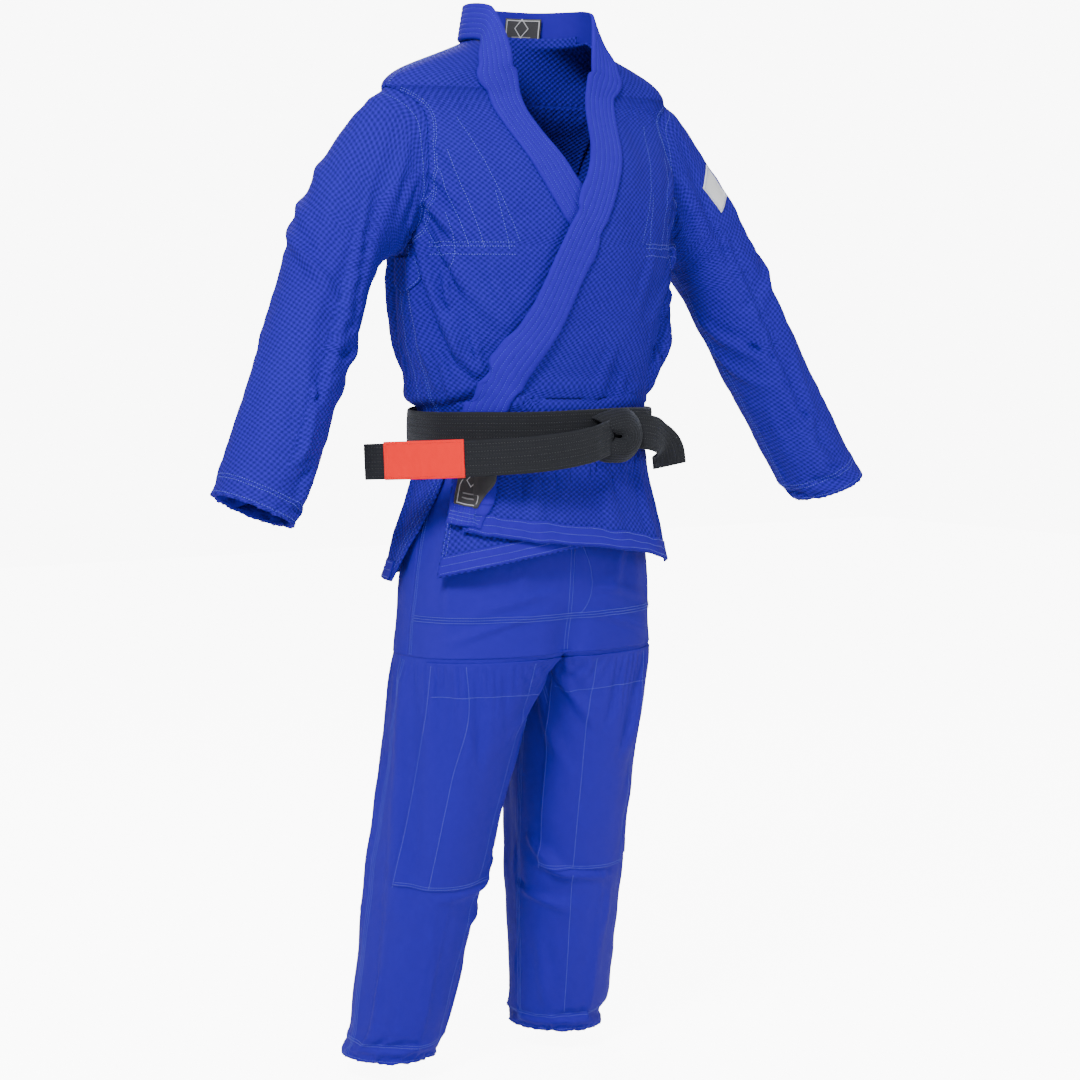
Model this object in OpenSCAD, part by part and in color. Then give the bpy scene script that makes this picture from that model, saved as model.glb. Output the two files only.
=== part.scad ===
// Martial arts uniform: wrap jacket, tied belt and trousers, held as a wearer holds them.
// +Z is up, the front faces -Y, and the wearer's left is +X.
// The origin is the centre of the wearer's waist, at mid height of the belt.

/* [Jacket] */
// Width of the jacket across the chest, just under the arms
chest_w = 376; // [320:1:450]
// Depth of the jacket from chest to back
chest_d = 246; // [200:1:295]
// Width between the two shoulder points
shoulder_w = 428; // [370:1:515]
// Height of the shoulder points above the belt's centre
shoulder_h = 430; // [360:1:515]
// Height of the armpits above the belt's centre
armpit_h = 235; // [195:1:282]
// Rise of the shoulder seam from the shoulder point to the neck
shoulder_rise = 67; // [50:1:85]
// Width of the neck opening inside the collar
neck_w = 156; // [130:1:190]
// Depth of the neck opening inside the collar
neck_d = 118; // [98:1:142]
// Width of the jacket under the belt
waist_w = 294; // [284:1:352]
// Depth of the jacket under the belt
waist_d = 206; // [200:1:247]
// Width of the jacket at its bottom hem
skirt_w = 384; // [364:1:460]
// Depth of the jacket at its bottom hem
skirt_d = 286; // [266:1:340]
// Drop of the back hem below the belt's centre
back_drop = 196; // [163:1:235]
// Drop of the front hems at the side vents
side_drop = 185; // [154:1:222]
// Drop of the front hems where the lapels end
lapel_drop = 128; // [106:1:154]
// Thickness of the woven jacket cloth
jacket_cloth = 2.5; // [2:0.1:3]

/* [Lapel] */
// Width of the stitched lapel band
lapel_w = 46; // [38:1:55]
// Thickness of the stitched lapel band
lapel_t = 3.5; // [2.8:0.1:4.2]

/* [Sleeves] */
// Depth of each armhole from front to back
armhole_d = 108; // [90:1:130]
// Width of the sleeve at the upper arm
upper_arm_w = 120; // [100:1:144]
// Length of the sleeve from the upper arm to the cuff
sleeve_len = 372; // [310:1:446]
// Lean of the hanging sleeve away from the body, in degrees
sleeve_lean = 26; // [20:1:31]
// Reach of the cuff in front of the shoulder
sleeve_forward = 72; // [58:1:86]
// Width of the cuff across the arm
cuff_w = 102; // [85:1:122]
// Depth of the cuff from front to back
cuff_d = 114; // [95:1:137]

/* [Trousers] */
// Width of the trousers across both thighs
hip_w = 367; // [306:1:372]
// Depth of the trousers at the seat
hip_d = 226; // [188:1:232]
// Depth of the crotch below the waist
crotch_drop = 290; // [242:1:348]
// Length of each leg from the crotch to the hem
leg_len = 555; // [462:1:666]
// Width of each leg at the knee
knee_w = 156; // [130:1:187]
// Width of each leg at the hem
ankle_w = 124; // [103:1:149]
// Distance of the hem's centre from the middle
leg_spread = 138; // [115:1:166]
// Distance of the hem's centre behind the waist's centre
leg_back = 135; // [112:1:162]
// Thickness of the trouser cloth
trouser_cloth = 2; // [1.6:0.1:2.4]

/* [Belt] */
// Width of the belt
belt_w = 45; // [38:1:50]
// Thickness of the belt
belt_t = 2.6; // [2.1:0.1:3.1]
// Width of the knot
knot_w = 66; // [55:1:79]
// Height of the knot
knot_h = 62; // [52:1:66]
// Length of the coloured bar on the long tail
bar_len = 100; // [83:1:120]

/* [Hidden] */

// Clear space between stacked layers of cloth
ply_gap = 0.9;
// Clear space between pieces that move past each other
move_gap = 0.6;
// Squareness of the body sections: 2 is an ellipse
squareness = 2.4;
// Height of the split between jacket and skirts, hidden by the belt's lower edge
skirt_split = -30;
// Clear space between the trousers and the jacket that the belt holds on them
waist_gap = 0.8;
// Height of the trousers' top edge
waist_top = 62;
neck_h = shoulder_h + shoulder_rise;
tape_h = 24;

// Body shapes: height against half width, front depth, back depth and shift in y.
jacket_shape = [
    [[-back_drop, skirt_w / 2], [skirt_split, waist_w / 2 + 2], [0, waist_w / 2],
     [30, waist_w / 2 + 3], [armpit_h / 2, (chest_w + waist_w) / 4 + 6], [armpit_h, chest_w / 2],
     [shoulder_h, shoulder_w / 2], [neck_h, neck_w / 2]],
    [[-back_drop, skirt_d * 0.475], [skirt_split, waist_d * 0.49 + 4], [0, waist_d * 0.49],
     [armpit_h / 2, chest_d / 2 - 7], [armpit_h, chest_d / 2 + 2], [(armpit_h + shoulder_h) / 2, chest_d * 0.44],
     [shoulder_h, neck_d * 0.46], [neck_h, neck_d / 2]],
    [[-back_drop, skirt_d * 0.525], [skirt_split, waist_d * 0.51 + 4], [0, waist_d * 0.51],
     [armpit_h / 2, chest_d / 2 - 9], [armpit_h, chest_d / 2 - 2], [(armpit_h + shoulder_h) / 2, chest_d * 0.45],
     [shoulder_h, neck_d * 0.5], [neck_h, neck_d / 2]],
    [[-back_drop, 8], [0, 0], [shoulder_h, 4], [neck_h, 6]]
];
trouser_shape = [
    [[-crotch_drop, hip_w / 2], [-150, (hip_w * 2 + waist_w) / 6 - 4], [skirt_split, waist_w / 2 - waist_gap],
     [0, waist_w / 2 - waist_gap], [waist_top, waist_w / 2 - 4]],
    [[-crotch_drop, hip_d * 0.46], [-150, hip_d * 0.47], [skirt_split, waist_d * 0.49 - waist_gap],
     [0, waist_d * 0.49 - waist_gap], [waist_top, waist_d * 0.49 - 4]],
    [[-crotch_drop, hip_d * 0.52], [-150, hip_d * 0.53], [skirt_split, waist_d * 0.51 - waist_gap],
     [0, waist_d * 0.51 - waist_gap], [waist_top, waist_d * 0.51 - 4]],
    [[-crotch_drop, 12], [-150, 8], [0, 0]]
];

// Path of the left lapel: height against angle round the body from the front centre.
lapel_path = [
    [-back_drop, -57], [-100, -56], [0, -53], [armpit_h * 0.3, -36], [armpit_h * 0.6, -16],
    [armpit_h * 0.9, -6], [armpit_h + 33, 1], [armpit_h + 85, 7], [shoulder_h - 60, 13],
    [shoulder_h - 20, 16], [shoulder_h, 17], [shoulder_h + 30, 26], [neck_h - 15, 42], [neck_h, 60]
];

// --- Surface functions ---

function sign_pow(v, p) = sign(v) * pow(abs(v), p);

function body_pt(shape, z, th) =
    let (w = lookup(z, shape[0]), front = lookup(z, shape[1]), back = lookup(z, shape[2]),
         shift = lookup(z, shape[3]), p = 2 / squareness)
    [w * sign_pow(sin(th), p), shift - (cos(th) > 0 ? front : back) * sign_pow(cos(th), p), z];

function body_normal(shape, z, th) =
    let (across = body_pt(shape, z, th + 1) - body_pt(shape, z, th - 1),
         up = body_pt(shape, z + 2, th) - body_pt(shape, z - 2, th), n = cross(across, up))
    n / norm(n);

function off_pt(shape, z, th, off) = body_pt(shape, z, th) + off * body_normal(shape, z, th);

// A grid of points between two angles, one row for each [height, low angle, high angle].
function body_grid(shape, rows, cols, off) =
    [for (r = rows) [for (j = [0 : cols]) let (th = r[1] + (r[2] - r[1]) * j / cols)
        off_pt(shape, r[0], th, off(r[0], th))]];

function body_rings(shape, heights, sides, off) =
    [for (z = heights) [for (j = [0 : sides - 1]) off_pt(shape, z, 360 * j / sides, off)]];

// --- Solids from grids ---

function quad(a, b, c, d) = [[a, b, c], [a, c, d]];
function flatten(lists) = [for (l = lists) each l];

// A closed sheet of cloth between an outer and an inner grid of points.
module sheet_solid(outer, inner) {
    rows = len(outer);
    cols = len(outer[0]);
    n = rows * cols;
    function o(i, j) = i * cols + j;
    function k(i, j) = n + o(i, j);
    faces = flatten([
        for (i = [0 : rows - 2], j = [0 : cols - 2]) each [
            quad(o(i, j), o(i + 1, j), o(i + 1, j + 1), o(i, j + 1)),
            quad(k(i, j), k(i, j + 1), k(i + 1, j + 1), k(i + 1, j))],
        for (j = [0 : cols - 2]) each [
            quad(o(0, j), o(0, j + 1), k(0, j + 1), k(0, j)),
            quad(o(rows - 1, j + 1), o(rows - 1, j), k(rows - 1, j), k(rows - 1, j + 1))],
        for (i = [0 : rows - 2]) each [
            quad(o(i + 1, 0), o(i, 0), k(i, 0), k(i + 1, 0)),
            quad(o(i, cols - 1), o(i + 1, cols - 1), k(i + 1, cols - 1), k(i, cols - 1))]
    ]);
    polyhedron(points = flatten(concat(outer, inner)), faces = faces, convexity = 8);
}

// A closed tube of cloth between outer and inner rings, listed from the bottom up.
module tube_solid(outer, inner) {
    rows = len(outer);
    cols = len(outer[0]);
    n = rows * cols;
    function o(i, j) = i * cols + j % cols;
    function k(i, j) = n + o(i, j);
    faces = flatten([
        for (i = [0 : rows - 2], j = [0 : cols - 1]) each [
            quad(o(i, j), o(i + 1, j), o(i + 1, j + 1), o(i, j + 1)),
            quad(k(i, j), k(i, j + 1), k(i + 1, j + 1), k(i + 1, j))],
        for (j = [0 : cols - 1]) each [
            quad(o(0, j), o(0, j + 1), k(0, j + 1), k(0, j)),
            quad(o(rows - 1, j + 1), o(rows - 1, j), k(rows - 1, j), k(rows - 1, j + 1))]
    ]);
    polyhedron(points = flatten(concat(outer, inner)), faces = faces, convexity = 8);
}

module body_sheet(shape, rows, cols, low, high) {
    sheet_solid(body_grid(shape, rows, cols, high), body_grid(shape, rows, cols, low));
}

// --- Jacket body ---

jacket_side = 89.95;
armhole_mid = (armpit_h + shoulder_h) / 2;
armhole_half_h = (shoulder_h - armpit_h) / 2;
jacket_heights = [skirt_split, 0, 30, armpit_h / 4 + 15, armpit_h / 2, armpit_h * 0.75, armpit_h, armpit_h + 22,
    armpit_h + 55, for (h = [armpit_h + 90 : 35 : armhole_mid - 30]) h, armhole_mid,
    for (h = [armhole_mid + 40 : 40 : shoulder_h - 80]) h, shoulder_h - 50, shoulder_h - 18, shoulder_h, shoulder_h + 22, neck_h - 24,
    neck_h - 10];

function armhole_half_d(z) = armhole_d / 2 * sqrt(max(0, 1 - pow((z - armhole_mid) / armhole_half_h, 2)));
function armhole_edge(z, depths) =
    min(jacket_side, acos(min(1, pow(armhole_half_d(z) / lookup(z, depths), squareness / 2))));
function front_edge(z) = armhole_edge(z, jacket_shape[1]);
function back_edge(z) = 180 - armhole_edge(z, jacket_shape[2]);
function lapel_angle(z) = lookup(z, lapel_path);

// The left front lies over the right front and its lapel, and comes down to the body at the side seam.
lapel_low = jacket_cloth + 1.5 * ply_gap;
over_step = lapel_low + lapel_t + ply_gap;
over_fade = [[68, over_step], [77, 0]];
over_rise = [[armpit_h + 80, over_step], [shoulder_h - 60, 0]];
over_off = function (z, th) min(lookup(th, over_fade), lookup(z, over_rise));

module front_panel(low) {
    rows = [for (z = jacket_heights) [z, lapel_angle(z), front_edge(z)]];
    body_sheet(jacket_shape, rows, 18, low, function (z, th) low(z, th) + jacket_cloth);
}

module jacket_back() color("royalblue") {
    rows = [for (z = jacket_heights) [z, back_edge(z), 360 - back_edge(z)]];
    body_sheet(jacket_shape, rows, 22, function (z, th) 0, function (z, th) jacket_cloth);
}

module right_front() color("royalblue") mirror([1, 0, 0]) front_panel(function (z, th) 0);

module left_front() color("royalblue") front_panel(over_off);

// --- Lapel band ---

lapel_heights = [skirt_split, 0, 22, 45, 70, 95, 120, 145, 170, 195, armpit_h - 15, armpit_h + 5, armpit_h + 25,
    armpit_h + 45, armpit_h + 65, armpit_h + 85, armhole_mid, armpit_h + 118,
    for (h = [armpit_h + 138 : 20 : shoulder_h - 75]) h, shoulder_h - 60, shoulder_h - 36, shoulder_h - 15, shoulder_h + 5, shoulder_h + 24, shoulder_h + 35, neck_h - 22];
across = [-1, -1 / 3, 1 / 3, 1];

// Points across the band at one height, square to the band's own path over the body.
function lapel_row(z, off) =
    let (th = lapel_angle(z), n = body_normal(jacket_shape, z, th),
         along = body_pt(jacket_shape, z + 4, lapel_angle(z + 4)) - body_pt(jacket_shape, z - 4, lapel_angle(z - 4)),
         b = cross(along, n) / norm(cross(along, n)),
         turn = (body_pt(jacket_shape, z, th + 1) - body_pt(jacket_shape, z, th - 1)) / 2,
         d_th = (b * turn) / (turn * turn))
    [for (s = across) let (d = s * lapel_w / 2, zs = z + d * b[2], ths = th + d * d_th)
        off_pt(jacket_shape, zs, ths, off(zs, ths))];

// The collar stands up round the back of the neck: place, then the direction down across the band.
collar_stations = [
    [[neck_w / 2 + 4, -26, neck_h + 17], [0.3, 0, -0.95]],
    [[neck_w / 2 + 6, 6, neck_h + 22], [0.2, 0, -0.98]],
    [[neck_w / 2 - 10, neck_d / 2 - 12, neck_h + 23], [0.12, 0.1, -0.99]],
    [[neck_w / 4 + 2, neck_d / 2 + 6, neck_h + 23], [0.05, 0.15, -0.99]],
    [[0.4, neck_d / 2 + 10, neck_h + 23], [0, 0.17, -0.985]]
];
function collar_normal(i) =
    let (a = collar_stations[max(0, i - 1)][0], b = collar_stations[min(4, i + 1)][0],
         n = cross(collar_stations[i][1], b - a))
    i == 4 ? [0, 1, 0] : [n[0], n[1], 0] / norm([n[0], n[1], 0]);
function collar_row(i, off) =
    [for (s = across) collar_stations[i][0] + s * lapel_w / 2 * collar_stations[i][1] + off * collar_normal(i)];

function lapel_grid(over, lift) = concat(
    [for (h = lapel_heights) lapel_row(h, function (z, th) lapel_low + lift + (over ? over_off(z, th) : 0))],
    [for (i = [0 : 4]) collar_row(i, lapel_low + lift)]);

module lapel(over) sheet_solid(lapel_grid(over, lapel_t), lapel_grid(over, 0));

module left_lapel() color("mediumblue") lapel(true);

module right_lapel() color("mediumblue") mirror([1, 0, 0]) lapel(false);

// --- Sewn-on pieces of the jacket ---

patch_low = function (z, th) jacket_cloth + ply_gap;
patch_high = function (z, th) jacket_cloth + ply_gap + 1.8;

module gusset() {
    rows = [[armpit_h - 58, 86, 94], [armpit_h - 38, 79, 101], [armpit_h - 16, 82, 98]];
    body_sheet(jacket_shape, rows, 4, patch_low, patch_high);
}

module left_gusset() color("darkblue") gusset();

module right_gusset() color("darkblue") mirror([1, 0, 0]) gusset();

// Second layer sewn inside the back between the shoulders.
module chest_patch() color("royalblue") {
    rows = [for (z = [armpit_h + 40, armhole_mid, shoulder_h - 40, shoulder_h - 8]) [z, 140, 220]];
    body_sheet(jacket_shape, rows, 12, function (z, th) -2 - ply_gap, function (z, th) -ply_gap);
}

module neck_label() color("black") {
    label_w = 50;
    label_h = 34;
    y = neck_d / 2 + 10 + lapel_low - 1.6;
    translate([-label_w / 2, y, neck_h + 23 - label_h / 2]) rotate([9.8, 0, 0]) cube([label_w, 1.2, label_h]);
}

// --- Sleeves ---

// Rings of the left sleeve from cuff to armhole: centre, half width vector, half depth.
arm_x = shoulder_w / 2 + 76;
arm_z = shoulder_h - 182;
lean = [sin(sleeve_lean), -cos(sleeve_lean)];
cuff_c = [arm_x + sleeve_len * lean[0], -sleeve_forward, arm_z + sleeve_len * lean[1]];
arm_c = [arm_x, 0, arm_z];
armhole_top = [shoulder_w / 2 + jacket_cloth, 12, shoulder_h];
armhole_low = [chest_w / 2 + jacket_cloth, 12, armpit_h];
function along_arm(t, half_w, half_d, tilt) =
    [arm_c + (cuff_c - arm_c) * t, half_w * [cos(tilt), 0, sin(tilt)], half_d];
function mid(a, b, t) = a + (b - a) * t;
sleeve_rings = [
    along_arm(1, cuff_w / 2, cuff_d / 2, sleeve_lean),
    along_arm(0.9, cuff_w / 2 + 1, cuff_d / 2, sleeve_lean),
    along_arm(0.67, mid(upper_arm_w, cuff_w, 0.8) / 2, cuff_d / 2 + 1, sleeve_lean),
    along_arm(0.33, mid(upper_arm_w, cuff_w, 0.5) / 2, cuff_d / 2 + 2, sleeve_lean + 2),
    along_arm(0, upper_arm_w / 2, mid(cuff_d, armhole_d, 0.5) / 2 + 3, 40),
    [[mid(armhole_top[0], arm_x, 0.3) + 2, 8, armhole_mid - 30], (upper_arm_w / 2 + 20) * [cos(63), 0, sin(63)],
     armhole_d / 2 + 3],
    [(armhole_top + armhole_low) / 2 + [move_gap, 0, 0], (armhole_top - armhole_low) / 2, armhole_d / 2]
];
sleeve_sides = 24;

function ring(r, grow) =
    let (u = r[1] * (1 + grow / norm(r[1])), v = r[2] + grow)
    [for (j = [0 : sleeve_sides - 1]) let (a = 360 * j / sleeve_sides)
        r[0] + u * sin(a) + [0, -v * cos(a), 0]];
function rings(list, grow) = [for (r = list) ring(r, grow)];

module sleeve() tube_solid(rings(sleeve_rings, 0), rings(sleeve_rings, -jacket_cloth));

module left_sleeve() color("royalblue") sleeve();

module right_sleeve() color("royalblue") mirror([1, 0, 0]) sleeve();

// Turned hem inside the cuff.
module cuff_tape() {
    band = [sleeve_rings[0], along_arm(0.93, cuff_w / 2 + 0.7, cuff_d / 2, sleeve_lean)];
    grow = -jacket_cloth - ply_gap;
    tube_solid(rings(band, grow), rings(band, grow - 1.6));
}

module left_cuff_tape() color("mediumblue") cuff_tape();

module right_cuff_tape() color("mediumblue") mirror([1, 0, 0]) cuff_tape();

// Plain patch on the upper left sleeve, facing forwards and outwards.
patch_place = 0.45;
module sleeve_patch() color("white") {
    low_ring = sleeve_rings[4];
    high_ring = sleeve_rings[5];
    centre_row = function (t, grow) let (u = mid(low_ring[1], high_ring[1], t))
        [mid(low_ring[0], high_ring[0], t), u * (1 + grow / norm(u)), mid(low_ring[2], high_ring[2], t) + grow];
    strip = function (grow) [for (t = [0.1, patch_place]) let (r = centre_row(t, grow))
        [for (a = [15, 30, 45]) r[0] + r[1] * sin(a) + [0, -r[2] * cos(a), 0]]];
    sheet_solid(strip(2.6), strip(0.9));
}

// --- Skirts below the belt ---

skirt_top = skirt_split - move_gap;
// Angle of the vent edges at the belt and at the hem.
front_vent = [72, 68];
back_vent = [75, 99];

// Height of the front hem against angle, rising towards the lapel's end.
front_hem = [[-57, -lapel_drop], [-10, -lapel_drop - 16], [front_vent[1], -side_drop]];

// A front skirt is a grid of its own, because its hem isn't level.
function skirt_pt(th_top, th_hem, t, off) =
    let (th = mid(th_top, th_hem, t), z = mid(skirt_top, lookup(th_hem, front_hem), t))
    off_pt(jacket_shape, z, th, off(z, th));
function skirt_grid(cols, off) =
    [for (t = [1, 0.8, 0.6, 0.4, 0.2, 0]) [for (j = [0 : cols])
        skirt_pt(mid(lapel_angle(skirt_top), front_vent[0], j / cols), mid(-57, front_vent[1], j / cols), t, off)]];

module front_skirt(low) sheet_solid(skirt_grid(20, function (z, th) low(z, th) + jacket_cloth), skirt_grid(20, low));

// Under the belt both skirts keep to the same stack as the fronts, up to the side vents.
over_skirt = function (z, th) over_step;
under_skirt = function (z, th) 0;

module left_skirt() color("royalblue") front_skirt(over_skirt);

module right_skirt() color("royalblue") mirror([1, 0, 0]) front_skirt(under_skirt);

module lapel_end(step) {
    heights = [-lapel_drop + 8, -100, -80, -60, skirt_top - 1];
    sheet_solid([for (h = heights) lapel_row(h, function (z, th) step + lapel_low + lapel_t)],
        [for (h = heights) lapel_row(h, function (z, th) step + lapel_low)]);
}

module left_lapel_end() color("mediumblue") lapel_end(over_step);

module right_lapel_end() color("mediumblue") mirror([1, 0, 0]) lapel_end(0);

// Hem tape sewn along the inside of a front hem.
module front_hem_tape(low) {
    function tape_grid(off) = [for (t = [0, tape_h]) [for (j = [0 : 20]) let (th = mid(-54, front_vent[1] - 1, j / 20),
        z = lookup(th, front_hem) + 1 + t) off_pt(jacket_shape, z, th, off)]];
    sheet_solid(tape_grid(low - ply_gap), tape_grid(low - ply_gap - 1.4));
}

module left_hem_tape() color("mediumblue") front_hem_tape(over_step);

module right_hem_tape() color("mediumblue") mirror([1, 0, 0]) front_hem_tape(0);

module skirt_label() color("black") {
    low = over_step + lapel_low + lapel_t + 1.4 * ply_gap;
    label_grid = function (off) [for (h = [-94, -77, -60, -42]) let (row = lapel_row(h, function (z, th) off))
        [mid(row[0], row[3], 0.12), row[1], row[2], mid(row[0], row[3], 0.88)]];
    sheet_solid(label_grid(low + 1.2), label_grid(low));
}

module back_skirt() color("royalblue") {
    rows = [for (t = [1, 0.75, 0.5, 0.25, 0]) let (a = mid(back_vent[0], back_vent[1], t))
        [mid(skirt_top, -back_drop, t), a, 360 - a]];
    body_sheet(jacket_shape, rows, 24, function (z, th) 0, function (z, th) jacket_cloth);
}

module back_hem_tape() color("mediumblue") {
    rows = [for (z = [-back_drop + 1, -back_drop + 1 + tape_h]) [z, 103, 257]];
    body_sheet(jacket_shape, rows, 24, function (z, th) -ply_gap - 1.4, function (z, th) -ply_gap);
}

// Two small squares that strengthen the tops of the side vents, on the back skirt.
module vent_patches() color("mediumblue") {
    for (side = [0, 1]) mirror([side, 0, 0]) {
        rows = [[skirt_top - 34, 92, 104], [skirt_top - 4, 86, 98]];
        body_sheet(jacket_shape, rows, 2, patch_low, patch_high);
    }
}

// --- Belt ---

belt_low = over_step + lapel_low + lapel_t + ply_gap;
belt_sides = 48;
wrap_heights = [-belt_w / 2, belt_w / 2];
knot_y = -(lookup(0, jacket_shape[1]) + belt_low + 2 * belt_t + 2 * ply_gap);
knot_x = 52;

module belt_wrap(low, heights) {
    tube_solid(body_rings(jacket_shape, heights, belt_sides, low + belt_t),
        body_rings(jacket_shape, heights, belt_sides, low));
}

module belt_inner_wrap() color("black") belt_wrap(belt_low, wrap_heights);

module belt_outer_wrap() color("black") belt_wrap(belt_low + belt_t + ply_gap, wrap_heights + [2, 2]);

// The knot is a folded block that crosses both wraps.
knot_d = 30;
module belt_knot() color("black") {
    translate([knot_x, knot_y - knot_d / 2 + 2.0, -3]) rotate([0, 0, 9]) rotate([0, 8, 0]) hull() {
        for (x = [-1, 1], z = [-1, 1]) {
            translate([x * (knot_w / 2 - 10), 0, z * (knot_h / 2 - 10)]) sphere(r = 10, $fn = 20);
            translate([x * (knot_w / 2 - 16), knot_d / 2 - 7, z * (knot_h / 2 - 14)]) sphere(r = 6, $fn = 16);
        }
        translate([0, -knot_d / 2 + 8, 0]) sphere(r = 7, $fn = 20);
    }
}

// A tail is a flat strap on edge: points along its middle line, seen from above, with the height.
long_tail_path = [
    [knot_x - knot_w / 2 - 3.3, -146, -12], [-10, -156, -17], [-45, -159, -22], [-90, -151, -27],
    [-146, -124, -31], [-266, -24, -37]
];
short_tail_path = [
    [knot_x + knot_w / 2 + 1, -134, -4], [108, -130, -8], [130, -120, -18], [148, -106, -34], [160, -94, -52]
];
function path_dir(p, i) = let (d = p[min(len(p) - 1, i + 1)] - p[max(0, i - 1)]) d / norm(d);
function strap_row(p, i, w, off) =
    let (t = path_dir(p, i), n = [t[1], -t[0], 0] / norm([t[1], -t[0], 0]), up = cross(n, t) / norm(cross(n, t)))
    [p[i] + up * w / 2 + n * off, p[i] - up * w / 2 + n * off];

module strap(p, w, low, high) {
    sheet_solid([for (i = [0 : len(p) - 1]) strap_row(p, i, w, high)],
        [for (i = [0 : len(p) - 1]) strap_row(p, i, w, low)]);
}

module belt_long_tail() color("black") mirror([1, 0, 0]) {
    path = [for (q = long_tail_path) [-q[0], q[1], q[2]]];
    strap(path, belt_w, -belt_t / 2, belt_t / 2);
}

// The bar is a sleeve of cloth round the tail, open at both ends, short of the tail's tip.
module rank_bar() color("red") {
    tip = long_tail_path[5];
    back = (long_tail_path[4] - tip) / norm(long_tail_path[4] - tip);
    start = tip + back * 25;
    turn = atan2(back[1], back[0]);
    dip = asin(back[2]);
    translate(start) rotate([0, -dip, turn]) translate([0, -belt_t / 2 - 1.8, -belt_w / 2 - 1.6]) {
        difference() {
            cube([bar_len, belt_t + 3.6, belt_w + 3.2]);
            translate([-1, 1.2, 1.2]) cube([bar_len + 2, belt_t + 1.2, belt_w + 0.8]);
        }
    }
}

module belt_short_tail() color("black") strap(short_tail_path, belt_w, -belt_t / 2, belt_t / 2);

// --- Trousers ---

waistband_h = 34;
seat_heights = [-crotch_drop + move_gap, -crotch_drop + 70, -150, -90, skirt_split, 0,
    waist_top - waistband_h - ply_gap];
eyelet_x = 22;

// The waistband has two eyelets where a drawcord comes out.
module waistband() color("blue") difference() {
    tube_solid(body_rings(trouser_shape, [waist_top - waistband_h, waist_top], 32, 2),
        body_rings(trouser_shape, [waist_top - waistband_h, waist_top], 32, -trouser_cloth));
    for (x = [-eyelet_x, eyelet_x])
        translate([x, 0, waist_top - waistband_h / 2]) rotate([90, 0, 0]) cylinder(d = 9, h = 200, $fn = 24);
}

module seat(low_angle) {
    rows = [for (z = seat_heights) [z, low_angle, low_angle + 2 * jacket_side]];
    body_sheet(trouser_shape, rows, 14, function (z, th) -trouser_cloth, function (z, th) 0);
}

module seat_front() color("blue") seat(-jacket_side);

module seat_back() color("blue") seat(180 - jacket_side);

// The saddle-shaped piece between the legs, from the front seam to the back seam.
module crotch_gusset() color("mediumblue") {
    front_y = lookup(-crotch_drop, trouser_shape[1]) - 12;
    back_y = lookup(-crotch_drop, trouser_shape[2]) + 12;
    half = 26;
    saddle = function (off) [for (t = [-1, -0.5, 0, 0.5, 1]) [for (s = [-1, 0, 1])
        [s * half * (1.05 - abs(t) * 0.75), mid(-front_y, back_y, (t + 1) / 2) - t * (trouser_cloth + ply_gap),
         -crotch_drop + 3 + 9 * (1 - t * t) + off]]];
    sheet_solid(saddle(trouser_cloth), saddle(0));
}

// Rings of the left leg from hem to crotch: centre, half width vector, half depth.
leg_top = -crotch_drop;
thigh_w = hip_w / 2 - 2;
function along_leg(t) = [mid(hip_w / 4, leg_spread, t), mid(12, leg_back, pow(t, 0.85)), leg_top - leg_len * t];
function leg_ring(t, w, d) = [along_leg(t), [w / 2, 0, 0], d / 2];
leg_rings = [
    leg_ring(1, ankle_w, ankle_w + 12), leg_ring(0.95, ankle_w + 2, ankle_w + 13),
    leg_ring(0.77, mid(ankle_w, knee_w, 0.45), mid(ankle_w + 12, knee_w + 8, 0.45)),
    leg_ring(0.56, knee_w, knee_w + 8), leg_ring(0.3, mid(knee_w, thigh_w, 0.45), mid(knee_w + 8, hip_d * 0.96, 0.45)),
    leg_ring(0.12, mid(knee_w, thigh_w, 0.85), mid(knee_w + 8, hip_d * 0.96, 0.8)),
    leg_ring(0, thigh_w, hip_d * 0.96)
];

module leg() tube_solid(rings(leg_rings, 0), rings(leg_rings, -trouser_cloth));

module left_leg() color("blue") leg();

module right_leg() color("blue") mirror([1, 0, 0]) leg();

// Part of each ring, between two angles from the front, for layers sewn on the leg.
function arc_row(r, low, high, cols, grow) =
    [for (j = [0 : cols]) let (a = mid(low, high, j / cols))
        r[0] + r[1] * (1 + grow / norm(r[1])) * sin(a) + [0, -(r[2] + grow) * cos(a), 0]];

module knee_patch() {
    top = 0.93;
    list = [leg_rings[3], leg_rings[4], leg_rings[5], [for (k = [0 : 2]) mid(leg_rings[5][k], leg_rings[6][k], top)]];
    function grid(grow) = [for (r = list) arc_row(r, -60, 60, 8, grow)];
    sheet_solid(grid(ply_gap + 1.6), grid(ply_gap));
}

module left_knee_patch() color("blue") knee_patch();

module right_knee_patch() color("blue") mirror([1, 0, 0]) knee_patch();

// Turned hem inside the bottom of the leg.
module leg_hem() {
    band = [leg_rings[0], leg_rings[1]];
    grow = -trouser_cloth - ply_gap;
    tube_solid(rings(band, grow), rings(band, grow - 1.6));
}

module left_leg_hem() color("mediumblue") leg_hem();

module right_leg_hem() color("mediumblue") mirror([1, 0, 0]) leg_hem();

// --- Nodes ---

jacket_back();
right_front();
left_front();
right_lapel();
left_lapel();
right_gusset();
left_gusset();
chest_patch();
neck_label();
right_sleeve();
left_sleeve();
right_cuff_tape();
left_cuff_tape();
sleeve_patch();
right_skirt();
left_skirt();
right_lapel_end();
left_lapel_end();
left_hem_tape();
right_hem_tape();
skirt_label();
back_skirt();
back_hem_tape();
vent_patches();
belt_inner_wrap();
belt_outer_wrap();
belt_knot();
belt_long_tail();
rank_bar();
belt_short_tail();
waistband();
seat_front();
seat_back();
crotch_gusset();
right_leg();
left_leg();
right_knee_patch();
left_knee_patch();
right_leg_hem();
left_leg_hem();
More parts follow.
